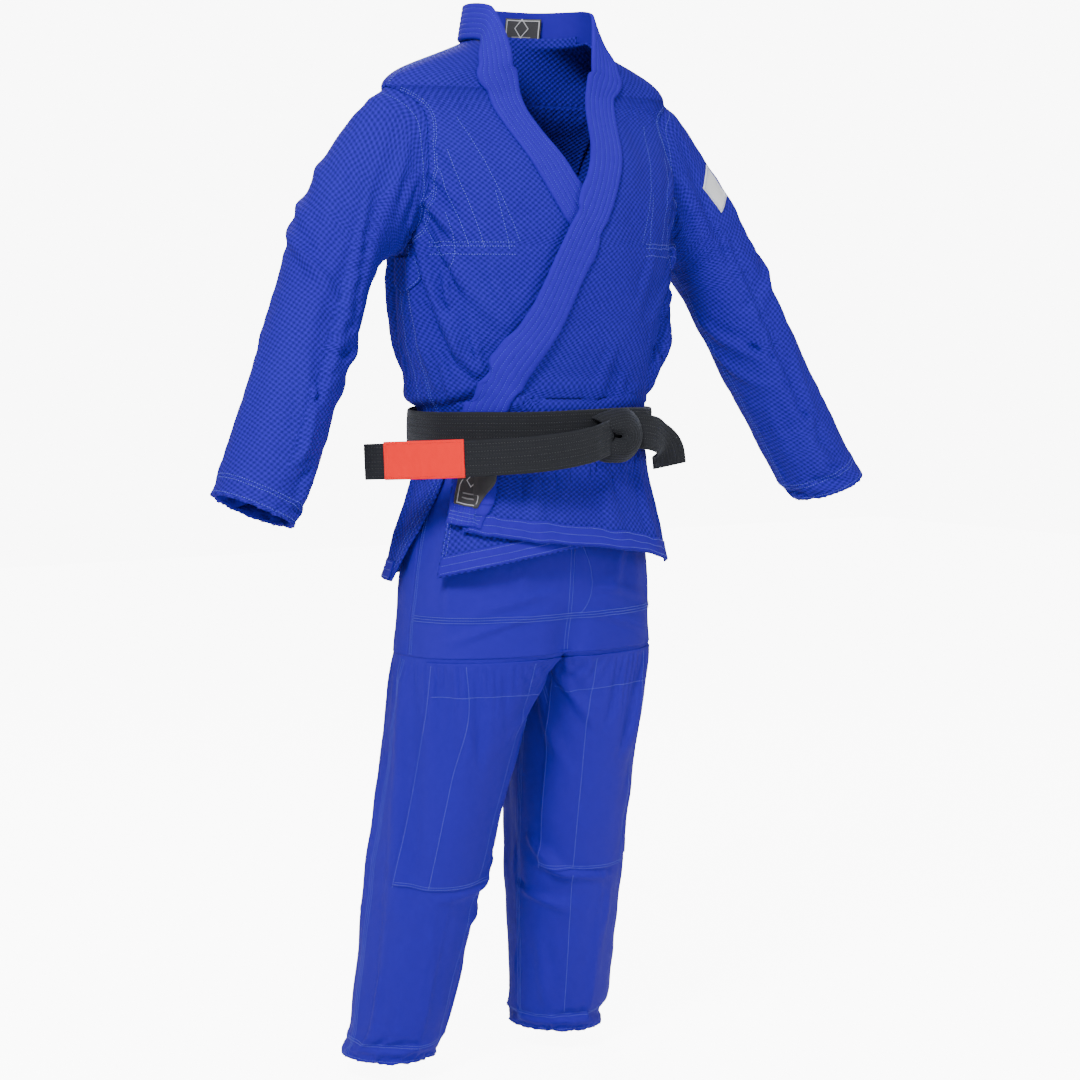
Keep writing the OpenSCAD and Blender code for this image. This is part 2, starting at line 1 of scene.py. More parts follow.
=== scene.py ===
"""Looks of the martial arts uniform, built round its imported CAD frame.

Every cloth piece is a sheet of its own. The jacket's body, each sleeve, the seat and each leg
are first laid out as a Form, a dense grid of points with its folds, and the pieces that are sewn
together sample the same Form, so that panels, bands, tapes and stitches keep to one another.
Lengths are in millimetres until a mesh is made.
"""

import math

import bpy
import numpy as np
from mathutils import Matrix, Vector


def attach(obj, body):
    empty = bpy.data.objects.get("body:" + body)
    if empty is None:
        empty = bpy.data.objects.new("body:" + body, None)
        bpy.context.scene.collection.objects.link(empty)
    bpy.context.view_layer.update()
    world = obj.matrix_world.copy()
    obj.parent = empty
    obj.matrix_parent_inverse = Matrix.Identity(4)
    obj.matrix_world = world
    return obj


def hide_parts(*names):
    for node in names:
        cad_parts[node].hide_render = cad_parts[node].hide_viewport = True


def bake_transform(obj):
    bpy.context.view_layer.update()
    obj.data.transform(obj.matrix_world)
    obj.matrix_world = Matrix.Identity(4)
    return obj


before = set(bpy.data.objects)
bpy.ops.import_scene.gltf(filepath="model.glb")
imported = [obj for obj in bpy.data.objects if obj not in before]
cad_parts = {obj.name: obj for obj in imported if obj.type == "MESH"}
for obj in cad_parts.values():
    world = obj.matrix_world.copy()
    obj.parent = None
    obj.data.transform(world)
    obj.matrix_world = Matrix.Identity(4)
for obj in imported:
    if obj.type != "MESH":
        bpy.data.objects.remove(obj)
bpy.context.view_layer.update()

bl_info = {
    "name": "Martial Arts Uniform",
    "version": (1, 0, 0),
    "blender": (4, 5, 0),
    "location": "View3D > Sidebar > Uniform",
    "description": "Builds a wrap jacket, a tied belt and trousers as separate sheets of cloth",
    "category": "Object",
}

MM = 0.001
SQUARENESS = 2.4
LEFT, RIGHT = 1, -1

# Body shapes, each a table of heights and values: half width, front depth, back depth, shift.
JACKET_SHAPE = (
    ((-196, 192), (-30, 149), (0, 147), (30, 150), (117.5, 173.5), (235, 188), (430, 214), (497, 78)),
    ((-196, 135.85), (-30, 104.94), (0, 100.94), (117.5, 116), (235, 125), (332.5, 108.24), (430, 54.28), (497, 59)),
    ((-196, 150.15), (-30, 109.06), (0, 105.06), (117.5, 114), (235, 121), (332.5, 110.7), (430, 59), (497, 59)),
    ((-196, 8), (0, 0), (430, 4), (497, 6)),
)
TROUSER_SHAPE = (
    ((-290, 183.5), (-150, 167.33), (-30, 146.2), (0, 146.2), (62, 143)),
    ((-290, 103.96), (-150, 106.22), (-30, 100.14), (0, 100.14), (62, 96.94)),
    ((-290, 117.52), (-150, 119.78), (-30, 104.26), (0, 104.26), (62, 101.06)),
    ((-290, 12), (-150, 8), (0, 0)),
)
LAPEL_PATH = (
    (-196, -57), (-100, -56), (0, -53), (70.5, -36), (141, -16), (211.5, -6), (268, 1),
    (320, 7), (370, 13), (410, 16), (430, 17), (460, 26), (482, 42), (497, 60),
)
# Where the collar stands round the back of the neck: place, then the direction down the band.
COLLAR = (
    ((82, -26, 514), (0.3, 0, -0.95)),
    ((84, 6, 519), (0.2, 0, -0.98)),
    ((68, 47, 520), (0.12, 0.1, -0.99)),
    ((41, 65, 520), (0.05, 0.15, -0.99)),
    ((0.4, 69, 520), (0, 0.17, -0.985)),
)
# Sleeve sections from the arm's top to the cuff: centre, half width, tilt of the width, half depth.
SLEEVE_SECTIONS = (
    ((240.55, 8, 302.5), 80, 63, 57),
    ((290, 0, 248), 60, 40, 58.5),
    ((343.8, -23.8, 137.7), 55.5, 28, 59),
    ((399.3, -48.2, 24), 52.8, 26, 58),
    ((436.8, -64.8, -53), 52, 26, 57),
    ((453.1, -72, -86.4), 51, 26, 57),
)
# Leg sections from under the crotch to the hem: share of the leg's length, width, depth.
LEG_SECTIONS = (
    (0.12, 177.7, 206.4), (0.3, 167.5, 187.8), (0.56, 156, 164), (0.77, 138.4, 148.6), (0.95, 126, 137), (1, 124, 136),
)
CROTCH, LEG_LEN, THIGH_X, HEM_X, HEM_Y = -290, 555, 91.75, 138, 135
ARMHOLE_Z, ARMHOLE_H, ARMHOLE_D = 332.5, 97.5, 54
PANEL_TOP, BACK_TOP, SKIRT_TOP = 499, 509, -30.6
CLOTH, DRILL, BAND_W, BAND_T, BELT_W, BELT_T = 2.5, 2.0, 46, 3.5, 45, 2.6
BAND_LOW = 2.65
OVER = 8.25
LONG_TAIL = (
    (15.7, -146, -12), (-10, -156, -17), (-45, -159, -22), (-90, -151, -27), (-146, -124, -31), (-266, -24, -37),
)
SHORT_TAIL = ((86, -134, -4), (108, -130, -8), (130, -120, -18), (148, -106, -34), (160, -94, -52))


# --- Curves and surfaces ---


def smooth_between(x, xs, ys):
    """A smooth curve without overshoot through the points (xs, ys); each y may be one number or a row of points."""
    xs, ys = np.asarray(xs, float), np.asarray(ys, float)
    x = np.clip(np.asarray(x, float), xs[0], xs[-1])
    wide = (slice(None),) + (None,) * (ys.ndim - 1)
    h = np.diff(xs)
    rise = np.diff(ys, axis=0) / h[wide]
    slope = np.empty_like(ys)
    before, after = rise[:-1], rise[1:]
    w1, w2 = (2 * h[1:] + h[:-1])[wide], (h[1:] + 2 * h[:-1])[wide]
    same = before * after > 0
    with np.errstate(divide="ignore", invalid="ignore"):
        mean = (w1 + w2) / (w1 / before + w2 / after)
    slope[1:-1] = np.where(same, mean, 0)
    slope[0], slope[-1] = rise[0], rise[-1]
    k = np.clip(np.searchsorted(xs, x, side="right") - 1, 0, len(xs) - 2)
    t = (x - xs[k]) / h[k]
    if ys.ndim > 1:
        t, span = t.reshape(t.shape + (1,) * (ys.ndim - 1)), h[k].reshape(t.shape + (1,) * (ys.ndim - 1))
    else:
        span = h[k]
    t2, t3 = t * t, t * t * t
    return (
        (2 * t3 - 3 * t2 + 1) * ys[k] + (t3 - 2 * t2 + t) * span * slope[k]
        + (3 * t2 - 2 * t3) * ys[k + 1] + (t3 - t2) * span * slope[k + 1]
    )


def table(x, points):
    return smooth_between(x, [p[0] for p in points], [p[1] for p in points])


def step(low, high, x):
    t = np.clip((np.asarray(x, float) - low) / (high - low), 0, 1)
    return t * t * (3 - 2 * t)


def signed_power(v, p):
    return np.sign(v) * np.abs(v) ** p


def body_point(shape, z, angle):
    """A point on a body section at a height and an angle: 0 is the front and 90 the wearer's left."""
    width, front, back, shift = (table(z, column) for column in shape)
    s, c, p = np.sin(np.radians(angle)), np.cos(np.radians(angle)), 2 / SQUARENESS
    return np.stack(
        [width * signed_power(s, p), shift - np.where(c > 0, front, back) * signed_power(c, p), z + 0 * s], axis=-1
    )


def unit(v):
    return v / np.maximum(np.linalg.norm(v, axis=-1, keepdims=True), 1e-9)


class Form:
    """A body of cloth as a dense grid. u runs along it, v round it in degrees, and relief lifts it along its normal."""

    def __init__(self, u, base, outward):
        self.u, self.base, self.outward = np.asarray(u, float), base, outward
        self.turns = base.shape[1]
        self.v = np.arange(self.turns) * 360 / self.turns
        self.plain = self.normals(base)
        self.points, self.lean = base, self.plain

    def normals(self, grid):
        along = np.gradient(grid, axis=0)
        around = np.roll(grid, -1, 1) - np.roll(grid, 1, 1)
        return unit(np.cross(around, along)) * self.outward

    def press(self, relief):
        self.points = self.base + relief[..., None] * self.plain
        self.lean = self.normals(self.points)

    def at(self, u, v, off=0.0):
        """Points at (u, v), off millimetres outside the form, and the normals there."""
        u, v = np.broadcast_arrays(np.asarray(u, float), np.asarray(v, float))
        i = np.interp(u, self.u, np.arange(len(self.u)))
        i0 = np.minimum(i.astype(int), len(self.u) - 2)
        j = (v % 360) / 360 * self.turns
        j0 = j.astype(int) % self.turns
        fi, fj = (i - i0)[..., None], (j - np.floor(j))[..., None]
        j1 = (j0 + 1) % self.turns

        def sample(g):
            return (g[i0, j0] * (1 - fj) + g[i0, j1] * fj) * (1 - fi) + (g[i0 + 1, j0] * (1 - fj) + g[i0 + 1, j1] * fj) * fi

        lean = unit(sample(self.lean))
        return sample(self.points) + np.asarray(off, float)[..., None] * lean, lean


def fold(x, y, start, end, width, height, bow=0.0):
    """One fold in flattened cloth: a rounded ridge from start to end, with a shallow furrow at each side."""
    (x0, y0), (x1, y1) = start, end
    dx, dy = x1 - x0, y1 - y0
    length = math.hypot(dx, dy)
    along = ((x - x0) * dx + (y - y0) * dy) / length**2
    across = ((x - x0) * dy - (y - y0) * dx) / length - bow * 4 * along * (1 - along)
    q = across / (width * (0.7 + 0.6 * np.clip(along, 0, 1)))
    taper = step(-0.08, 0.3, along) * (1 - step(0.62, 1.08, along))
    return height * taper * (1 - 0.9 * q * q) * np.exp(-q * q)


def ripples(x, y, seed, size, height):
    """Low, uneven swells, as in cloth that has been worn and washed."""
    rng = np.random.default_rng(seed)
    total = np.zeros(np.broadcast(x, y).shape)
    for k in range(9):
        angle, pitch = rng.uniform(0, math.pi), size * rng.uniform(0.6, 1.7)
        phase, bend = rng.uniform(0, 6.28), rng.uniform(0.3, 0.8)
        along = x * math.cos(angle) + y * math.sin(angle)
        cross = y * math.cos(angle) - x * math.sin(angle)
        total += np.sin(along * 6.28 / pitch + phase + bend * np.sin(cross * 6.28 / (pitch * 2.3) + phase * 2))
    return height * total / 3


# --- Cloth simulation ---


def settle(form, cells, around, held, grow, push, cap, frames=22, gravity=0.6):
    """Lets a coarse copy of a form hang as cloth for a moment, and returns how far it moved along the normals.

    held(u, v) is 1 where the cloth is sewn fast. grow is the share by which it is cut larger than the form."""
    rows = np.linspace(form.u[0], form.u[-1], cells)
    cols = np.arange(around) * 360 / around
    grid, _ = form.at(rows[:, None], cols[None, :])
    verts = grid.reshape(-1, 3) * MM
    i, j = np.meshgrid(np.arange(cells - 1), np.arange(around), indexing="ij")
    a, b = i * around + j, i * around + (j + 1) % around
    faces = np.stack([a, b, b + around, a + around], axis=-1).reshape(-1, 4)
    mesh = bpy.data.meshes.new("cloth_trial")
    mesh.from_pydata(verts.tolist(), [], faces.tolist())
    trial = bpy.data.objects.new("cloth_trial", mesh)
    bpy.context.scene.collection.objects.link(trial)
    pins = trial.vertex_groups.new(name="sewn")
    weight = np.broadcast_to(held(rows[:, None], cols[None, :]), (cells, around)).reshape(-1)
    for n, w in enumerate(weight):
        if w > 0.001:
            pins.add([n], float(w), "REPLACE")
    cloth = trial.modifiers.new("Cloth", "CLOTH")
    s = cloth.settings
    s.quality, s.mass, s.time_scale = 6, 0.35, 1.0
    s.tension_stiffness, s.compression_stiffness, s.shear_stiffness, s.bending_stiffness = 18, 18, 6, 0.8
    s.tension_damping, s.compression_damping, s.shear_damping, s.bending_damping = 8, 8, 8, 1.5
    s.air_damping = 4
    s.vertex_group_mass, s.pin_stiffness = "sewn", 1.0
    s.shrink_min = -grow
    s.use_pressure, s.uniform_pressure_force = True, push
    s.effector_weights.gravity = gravity
    cloth.collision_settings.use_collision = False
    cloth.collision_settings.use_self_collision = False
    scene = bpy.context.scene
    cloth.point_cache.frame_start, cloth.point_cache.frame_end = 1, frames
    for k in range(1, frames + 1):
        scene.frame_set(k)
    depsgraph = bpy.context.evaluated_depsgraph_get()
    moved = trial.evaluated_get(depsgraph).data
    co = np.empty(len(moved.vertices) * 3)
    moved.vertices.foreach_get("co", co)
    bpy.data.objects.remove(trial)
    bpy.data.meshes.remove(mesh)
    scene.frame_set(1)
    _, lean = form.at(rows[:, None], cols[None, :])
    shift = ((co.reshape(cells, around, 3) / MM - grid) * lean).sum(-1)
    shift = cap * np.tanh(shift / cap)
    return rows, shift


def spread(form, rows, shift):
    """The coarse movement, smoothly over all of the form's own grid."""
    fine_rows = smooth_between(form.u, rows, shift[:, :])
    around = shift.shape[1]
    wrapped = np.concatenate([fine_rows[:, -2:], fine_rows, fine_rows[:, :3]], axis=1)
    place = np.arange(-2, around + 3)
    return smooth_between(form.v / 360 * around, place, wrapped.T).T


# --- Meshes ---


def new_piece(name, verts, faces, uvs, material, smooth=True):
    """A mesh object at the origin. uvs has one pair for each corner of each face, in metres."""
    mesh = bpy.data.meshes.new(name)
    mesh.from_pydata((np.asarray(verts) * MM).tolist(), [], [list(f) for f in faces])
    if uvs is not None:
        layer = mesh.uv_layers.new(name="flat_cloth")
        layer.data.foreach_set("uv", np.asarray(uvs, np.float32).reshape(-1))
    if smooth:
        mesh.polygons.foreach_set("use_smooth", [True] * len(mesh.polygons))
    mesh.materials.append(material)
    mesh.update()
    piece = bpy.data.objects.new(name, mesh)
    bpy.context.scene.collection.objects.link(piece)
    return piece


def flat_layout(grid):
    """Each grid point's place in the flat cut, in metres: across from the middle column, and along."""
    across = np.linalg.norm(np.diff(grid, axis=1), axis=-1)
    u = np.concatenate([np.zeros((len(grid), 1)), np.cumsum(across, axis=1)], axis=1)
    middle = grid.shape[1] // 2
    u = u - u[:, middle : middle + 1]
    down = np.linalg.norm(np.diff(grid[:, middle], axis=0), axis=-1)
    v = np.concatenate([[0], np.cumsum(down)])[:, None] + 0 * u
    return np.stack([u, v], axis=-1) * MM


def grid_area(grid):
    a = np.cross(grid[1:, :-1] - grid[:-1, :-1], grid[:-1, 1:] - grid[:-1, :-1])
    b = np.cross(grid[1:, :-1] - grid[1:, 1:], grid[:-1, 1:] - grid[1:, 1:])
    return float((np.linalg.norm(a, axis=-1) + np.linalg.norm(b, axis=-1)).sum() / 2)


def sheet(name, outer, inner, material, uv=None, closed=False):
    """A closed sheet of cloth between two grids of points, with rounded raw edges. closed joins its last column to its first."""
    rows, cols = outer.shape[:2]
    if uv is None:
        ring = np.concatenate([outer, outer[:, :1]], axis=1) if closed else outer
        uv = flat_layout(ring)
    across, along = outer[:, min(1, cols - 1)] - outer[:, 0], outer[1] - outer[0]
    facing = np.cross(outer[rows // 2, cols // 2] - outer[rows // 2, cols // 2 - 1], outer[rows // 2, cols // 2] - outer[rows // 2 - 1, cols // 2])
    flip = np.dot(facing, (outer - inner)[rows // 2, cols // 2]) < 0
    half = (outer + inner) / 2
    thick = np.linalg.norm(outer - inner, axis=-1, keepdims=True)
    n = rows * cols
    verts = [outer.reshape(-1, 3), inner.reshape(-1, 3)]
    spare = cols if closed else cols - 1
    i, j = np.meshgrid(np.arange(rows - 1), np.arange(spare), indexing="ij")
    i, j = i.reshape(-1), j.reshape(-1)
    k = (j + 1) % cols
    a, b, c, d = i * cols + j, i * cols + k, (i + 1) * cols + k, (i + 1) * cols + j
    corner = np.stack([uv[i, j], uv[i, j + 1], uv[i + 1, j + 1], uv[i + 1, j]], axis=1)
    faces = [np.stack([a, b, c, d], 1), np.stack([a, d, c, b], 1) + n]
    corners = [corner, corner[:, [0, 3, 2, 1]]]
    base = 2 * n

    def rim(edge, next_row, spots, reverse):
        """A rounded edge: the outer edge, a line at mid thickness pushed out a little, and the inner edge."""
        nonlocal base
        count = len(edge)
        line = half.reshape(-1, 3)[edge]
        away = unit(line - half.reshape(-1, 3)[next_row])
        verts.append(line + away * thick.reshape(-1, 1)[edge] * 0.32)
        mid = base + np.arange(count)
        base += count
        ends = np.arange(count) if closed and count == cols else np.arange(count - 1)
        nxt = (ends + 1) % count
        places = spots
        for first, second in ((edge, mid), (mid, edge + n)):
            quad = np.stack([first[ends], second[ends], second[nxt], first[nxt]], 1)
            uv4 = np.stack([places[ends], places[ends], places[ends + 1], places[ends + 1]], 1)
            if reverse:
                quad, uv4 = quad[:, ::-1], uv4[:, ::-1]
            faces.append(quad)
            corners.append(uv4)

    row = np.arange(cols)
    last = (rows - 1) * cols + row
    rim(row, row + cols, uv[0], False)
    rim(last, last - cols, uv[-1], True)
    if not closed:
        col = np.arange(rows) * cols
        rim(col, col + 1, uv[:, 0], True)
        rim(col + cols - 1, col + cols - 2, uv[:, -1], False)
    faces, corners = np.concatenate(faces), np.concatenate(corners)
    if flip:
        faces, corners = faces[:, ::-1], corners[:, ::-1]
    return new_piece(name, np.concatenate(verts), faces, corners.reshape(-1, 2), material)


def declare(piece, grid, node, rests_on=(), closed=False):
    """Hides the CAD node, or nodes, that a sheet stands for. It also works out the sheet's flat width, length and area,
    which nothing uses.
    """
    ring = np.concatenate([grid, grid[:, :1]], axis=1) if closed else grid
    place = flat_layout(ring)
    width = float(place[..., 0].max() - place[..., 0].min())
    length = float(place[-1, 0, 1])
    area = min(max(grid_area(ring) * MM * MM, 0.3 * width * length), width * length)
    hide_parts(*([node] if isinstance(node, str) else node))
    return piece


# --- Finishes ---


class Value:
    """A shader socket whose arithmetic adds Math nodes."""

    def __init__(self, finish, socket):
        self.finish, self.socket = finish, socket

    def __add__(self, other):
        return self.finish.math("ADD", self, other)

    def __sub__(self, other):
        return self.finish.math("SUBTRACT", self, other)

    def __rsub__(self, other):
        return self.finish.math("SUBTRACT", other, self)

    def __mul__(self, other):
        return self.finish.math("MULTIPLY", self, other)

    def __truediv__(self, other):
        return self.finish.math("DIVIDE", self, other)

    def __pow__(self, other):
        return self.finish.math("POWER", self, other)

    __radd__, __rmul__ = __add__, __mul__


class Finish:
    """One material: its shader, and one method that adds any node."""

    def __init__(self, name, **constants):
        self.material = bpy.data.materials.new(name)
        self.material.use_nodes = True
        self.tree = self.material.node_tree
        self.shader = self.tree.nodes["Principled BSDF"]
        for socket, value in constants.items():
            self.shader.inputs[socket.replace("_", " ")].default_value = value

    def node(self, kind, settings=None, inputs=None, output=0):
        made = self.tree.nodes.new("ShaderNode" + kind)
        for key, value in (settings or {}).items():
            if key == "stops":
                ramp = made.color_ramp
                while len(ramp.elements) < len(value):
                    ramp.elements.new(0.5)
                for element, (place, colour) in zip(ramp.elements, value):
                    element.position, element.color = place, colour
            else:
                setattr(made, key, value)
        for key, value in (inputs or {}).items():
            if isinstance(value, Value):
                self.tree.links.new(value.socket, made.inputs[key])
            else:
                made.inputs[key].default_value = value
        return Value(self, made.outputs[output])

    def math(self, operation, a, b=0.0, clamp=False):
        return self.node("Math", {"operation": operation, "use_clamp": clamp}, {0: a, 1: b})

    def wave(self, value):
        return self.math("COSINE", value)

    def noise(self, place, scale, detail=3.0, rough=0.55):
        return self.node(
            "TexNoise", {"noise_dimensions": "3D"}, {"Vector": place, "Scale": scale, "Detail": detail, "Roughness": rough}
        )

    def mix(self, factor, a, b, blend="MIX"):
        return self.node(
            "Mix", {"data_type": "RGBA", "blend_type": blend}, {"Factor": factor, 6: a, 7: b}, output=2
        )

    def flat_place(self):
        """The piece's own flat layout, in metres: (across, along, whole vector)."""
        place = self.node("UVMap", {"uv_map": "flat_cloth"})
        parts = self.tree.nodes.new("ShaderNodeSeparateXYZ")
        self.tree.links.new(place.socket, parts.inputs[0])
        return Value(self, parts.outputs[0]), Value(self, parts.outputs[1]), place

    def stretch(self, place, x, y, z=1.0, turn=0.0):
        return self.node("Mapping", {}, {"Vector": place, "Scale": (x, y, z), "Rotation": (0, 0, turn)})

    def bump(self, height, distance, strength=1.0, normal=None):
        inputs = {"Height": height, "Distance": distance, "Strength": strength}
        if normal is not None:
            inputs["Normal"] = normal
        return self.node("Bump", {}, inputs)

    def paint(self, **links):
        for socket, value in links.items():
            self.tree.links.new(value.socket, self.shader.inputs[socket.replace("_", " ")])
        return self.material


def shade(colour, factor):
    return tuple(c * factor for c in colour[:3]) + (1.0,)


def pearl_weave(name, colour, pitch, depth, turn=0.0):
    """Grains in offset rows, each a small raised knot of yarn. Their colour carries painted light: lighter on the
    raised grains as a painted highlight, and darker in the gaps between as painted shade.
    """
    f = Finish(name, Roughness=0.78, Sheen_Weight=0.05, Sheen_Roughness=0.4, Specular_IOR_Level=0.12)
    f.shader.inputs["Sheen Tint"].default_value = (0.08, 0.1, 1.0, 1.0)
    across, along, place = f.flat_place()
    if turn:
        c, s = math.cos(turn), math.sin(turn)
        across, along = across * c + along * s, along * c - across * s
    wander = f.noise(f.stretch(place, 160, 160), 1.0, 2.0) - 0.5
    a = across * (math.pi / pitch) + wander * 0.9
    b = along * (math.pi / (pitch * 0.82)) + wander * 0.6
    lattice = f.wave(a) * f.wave(b)
    grain = f.math("ADD", lattice * 0.62, 0.5, clamp=True)
    ply = f.wave(across * (math.pi * 9 / pitch) + along * (math.pi * 5 / pitch)) * 0.5 + 0.5
    yarn = f.noise(f.stretch(place, 2600, 900), 1.0, 2.0)
    worn = f.noise(f.stretch(place, 9, 7), 1.0, 4.0)
    height = grain * 1.0 + ply * grain * 0.12 + yarn * 0.10
    # Painted highlight and shade: the colour follows the grains' height, lighter on the knots of yarn and darker in the
    # gaps.
    tone = f.mix(grain * 0.85 + yarn * 0.15, shade(colour, 0.34), shade(colour, 1.16))
    tone = f.mix(worn, tone, f.mix(0.12, tone, (0.05, 0.08, 0.6, 1)))
    return f.paint(
        Base_Color=tone, Normal=f.bump(height, depth, 0.9), Roughness=0.86 - grain * 0.16 + worn * 0.04
    )


def twill(name, colour, pitch, depth, rough=0.7, slub=0.5):
    """Fine slanting ribs with a little unevenness of yarn and of tone. The ribs carry painted light: lighter on their
    ridges as a painted highlight, and darker in the furrows as painted shade.
    """
    f = Finish(name, Roughness=rough, Sheen_Weight=0.05, Sheen_Roughness=0.4, Specular_IOR_Level=0.16)
    f.shader.inputs["Sheen Tint"].default_value = (0.08, 0.1, 1.0, 1.0)
    across, along, place = f.flat_place()
    rib = f.wave((across + along * 0.9) * (2 * math.pi / pitch)) * 0.5 + 0.5
    slubs = f.noise(f.stretch(place, 1500, 240), 1.0, 3.0)
    cross_yarn = f.noise(f.stretch(place, 260, 1700), 1.0, 2.0)
    cloud = f.noise(f.stretch(place, 14, 11), 1.0, 5.0)
    fade = f.noise(f.stretch(place, 90, 60), 1.0, 4.0)
    height = rib * 0.7 + slubs * slub + cross_yarn * 0.35
    # Partly painted light: the rib height paints the ridges lighter and the furrows darker, as painted highlight and
    # shade. The slubs' part is uneven yarn.
    tone = f.mix(rib * 0.5 + slubs * 0.5, shade(colour, 0.74), shade(colour, 1.14))
    tone = f.mix(cloud * 0.55, shade(colour, 0.86), tone)
    tone = f.mix(fade * 0.25, tone, shade(colour, 1.25))
    return f.paint(Base_Color=tone, Normal=f.bump(height, depth, 0.8), Roughness=rough + 0.1 - slubs * 0.14)


def plain_cotton(name, colour, fleck, depth, rough=0.8, sheen=0.2, tint=(1, 1, 1, 1)):
    """A tight plain weave: yarns over and under, with a light fleck. The colour is painted lighter where the yarns lie
    over, as a painted highlight, and darker where they dip under, as painted shade.
    """
    f = Finish(name, Roughness=rough, Sheen_Weight=sheen, Sheen_Roughness=0.4, Specular_IOR_Level=0.25)
    f.shader.inputs["Sheen Tint"].default_value = tint
    across, along, place = f.flat_place()
    over = f.wave(across * (2 * math.pi / 0.0011)) * f.wave(along * (2 * math.pi / 0.0011)) * 0.5 + 0.5
    hairs = f.noise(f.stretch(place, 1300, 1300), 1.0, 3.0)
    cloud = f.noise(f.stretch(place, 30, 22), 1.0, 4.0)
    # Partly painted light: the weave's height paints the crossings lighter and the dips darker, as painted highlight
    # and shade. The hairs' part is a real light fleck.
    tone = f.mix(over * 0.4 + hairs * 0.6, shade(colour, 0.72), fleck)
    tone = f.mix(cloud * 0.5, tone, shade(colour, 0.9))
    return f.paint(Base_Color=tone, Normal=f.bump(over * 0.6 + hairs * 0.5, depth, 0.8), Roughness=rough + 0.08 - hairs * 0.16)


def woven_label(name, ground, line, width, height):
    """A satin label with a woven border and a plain diamond, and nothing written on it."""
    f = Finish(name, Roughness=0.5, Sheen_Weight=0.15, Specular_IOR_Level=0.4)
    across, along, place = f.flat_place()
    middle = along - height / 2
    edge = f.math("MINIMUM", width / 2 - f.math("ABSOLUTE", across), height / 2 - f.math("ABSOLUTE", middle))
    border = f.math("LESS_THAN", f.math("ABSOLUTE", edge - 0.0022), 0.0006)
    reach = f.math("ABSOLUTE", across) * 1.25 + f.math("ABSOLUTE", middle - height * 0.14)
    diamond = f.math("LESS_THAN", f.math("ABSOLUTE", reach - width * 0.24), 0.0009)
    bars = f.math("GREATER_THAN", f.wave((middle + height * 0.2) * (2 * math.pi / (height * 0.115))), 0.55)
    inside = f.math("LESS_THAN", f.math("ABSOLUTE", middle + height * 0.24), height * 0.13)
    short = f.math("LESS_THAN", f.math("ABSOLUTE", across), width * 0.27)
    marks = f.math("MAXIMUM", f.math("MAXIMUM", border, diamond), bars * inside * short * 0.45, clamp=True)
    ribs = f.wave(across * (2 * math.pi / 0.0006)) * 0.5 + 0.5
    speck = f.noise(f.stretch(place, 1800, 700), 1.0, 2.0)
    tone = f.mix(marks, f.mix(speck * 0.5, ground, shade(line, 0.18)), line)
    return f.paint(Base_Color=tone, Normal=f.bump(ribs * 0.5 + marks + speck * 0.4, 0.0002, 0.8), Roughness=0.62 - ribs * 0.15)


def brass(name):
    f = Finish(name, Metallic=1.0, Roughness=0.32, Base_Color=(0.55, 0.56, 0.6, 1))
    place = f.node("TexCoord", {}, {}, output=3)
    scratch = f.noise(f.stretch(place, 900, 900, 300), 1.0, 3.0)
    return f.paint(Roughness=scratch * 0.3 + 0.2)


MATERIALS = {}


def make_finishes(look):
    blue, drill = tuple(look.jacket_colour) + (1,), tuple(look.trouser_colour) + (1,)
    black, red = tuple(look.belt_colour) + (1,), tuple(look.bar_colour) + (1,)
    MATERIALS.update(
        weave=pearl_weave("jacket_pearl_weave", blue, look.grain_pitch, 0.0011),
        weave_slant=pearl_weave("sleeve_pearl_weave", blue, look.grain_pitch * 1.02, 0.0011, turn=0.42),
        band=twill("lapel_drill", shade(blue, 1.1), 0.0015, 0.0004, rough=0.72),
        drill=twill("trouser_drill", drill, 0.0011, 0.00035, rough=0.62),
        tape=twill("tape_twill", shade(blue, 1.06), 0.0013, 0.0004, rough=0.74),
        belt=plain_cotton("belt_cotton", black, shade(black, 1.9), 0.0004, tint=(0.5, 0.55, 0.65, 1)),
        bar=plain_cotton("bar_cotton", red, shade(red, 1.12), 0.0003, rough=0.74, tint=(1, 0.6, 0.5, 1)),
        label=woven_label("label_cloth", (0.012, 0.012, 0.016, 1), (0.42, 0.42, 0.45, 1), 0.035, 0.052),
        neck_label=woven_label("neck_label_cloth", (0.012, 0.012, 0.016, 1), (0.5, 0.5, 0.53, 1), 0.05, 0.034),
        patch=plain_cotton("patch_cloth", (0.75, 0.77, 0.8, 1), (0.86, 0.87, 0.9, 1), 0.0003),
        thread=plain_cotton("blue_thread", (0.06, 0.1, 0.66, 1), (0.1, 0.16, 0.8, 1), 0.0001, rough=0.5),
        dark_thread=plain_cotton("black_thread", shade(black, 0.8), shade(black, 2.0), 0.0001, rough=0.5),
        red_thread=plain_cotton("red_thread", shade(red, 0.72), shade(red, 0.9), 0.0001, rough=0.5),
        eyelet=brass("eyelet_metal"),
    )


# --- Stitches ---

STITCHES = {}


def sew(group, points, normals, pitch=3.4, gap=0.32, thread="thread"):
    """Keeps a row of stitches along a line on the cloth; one mesh for each group is made at the end."""
    points, normals = np.asarray(points, float), np.asarray(normals, float)
    length = np.concatenate([[0], np.cumsum(np.linalg.norm(np.diff(points, axis=0), axis=-1))])
    count = int(length[-1] / pitch)
    if count < 1:
        return
    starts = np.arange(count) * length[-1] / count
    ends = starts + length[-1] / count * (1 - gap)

    def along(d, values):
        return np.stack([np.interp(d, length, values[:, k]) for k in range(3)], axis=-1)

    STITCHES.setdefault((group, thread), []).append(
        (along(starts, points), along(ends, points), unit(along((starts + ends) / 2, normals)))
    )


STITCH_RISE, STITCH_HALF = 0.42, 0.42


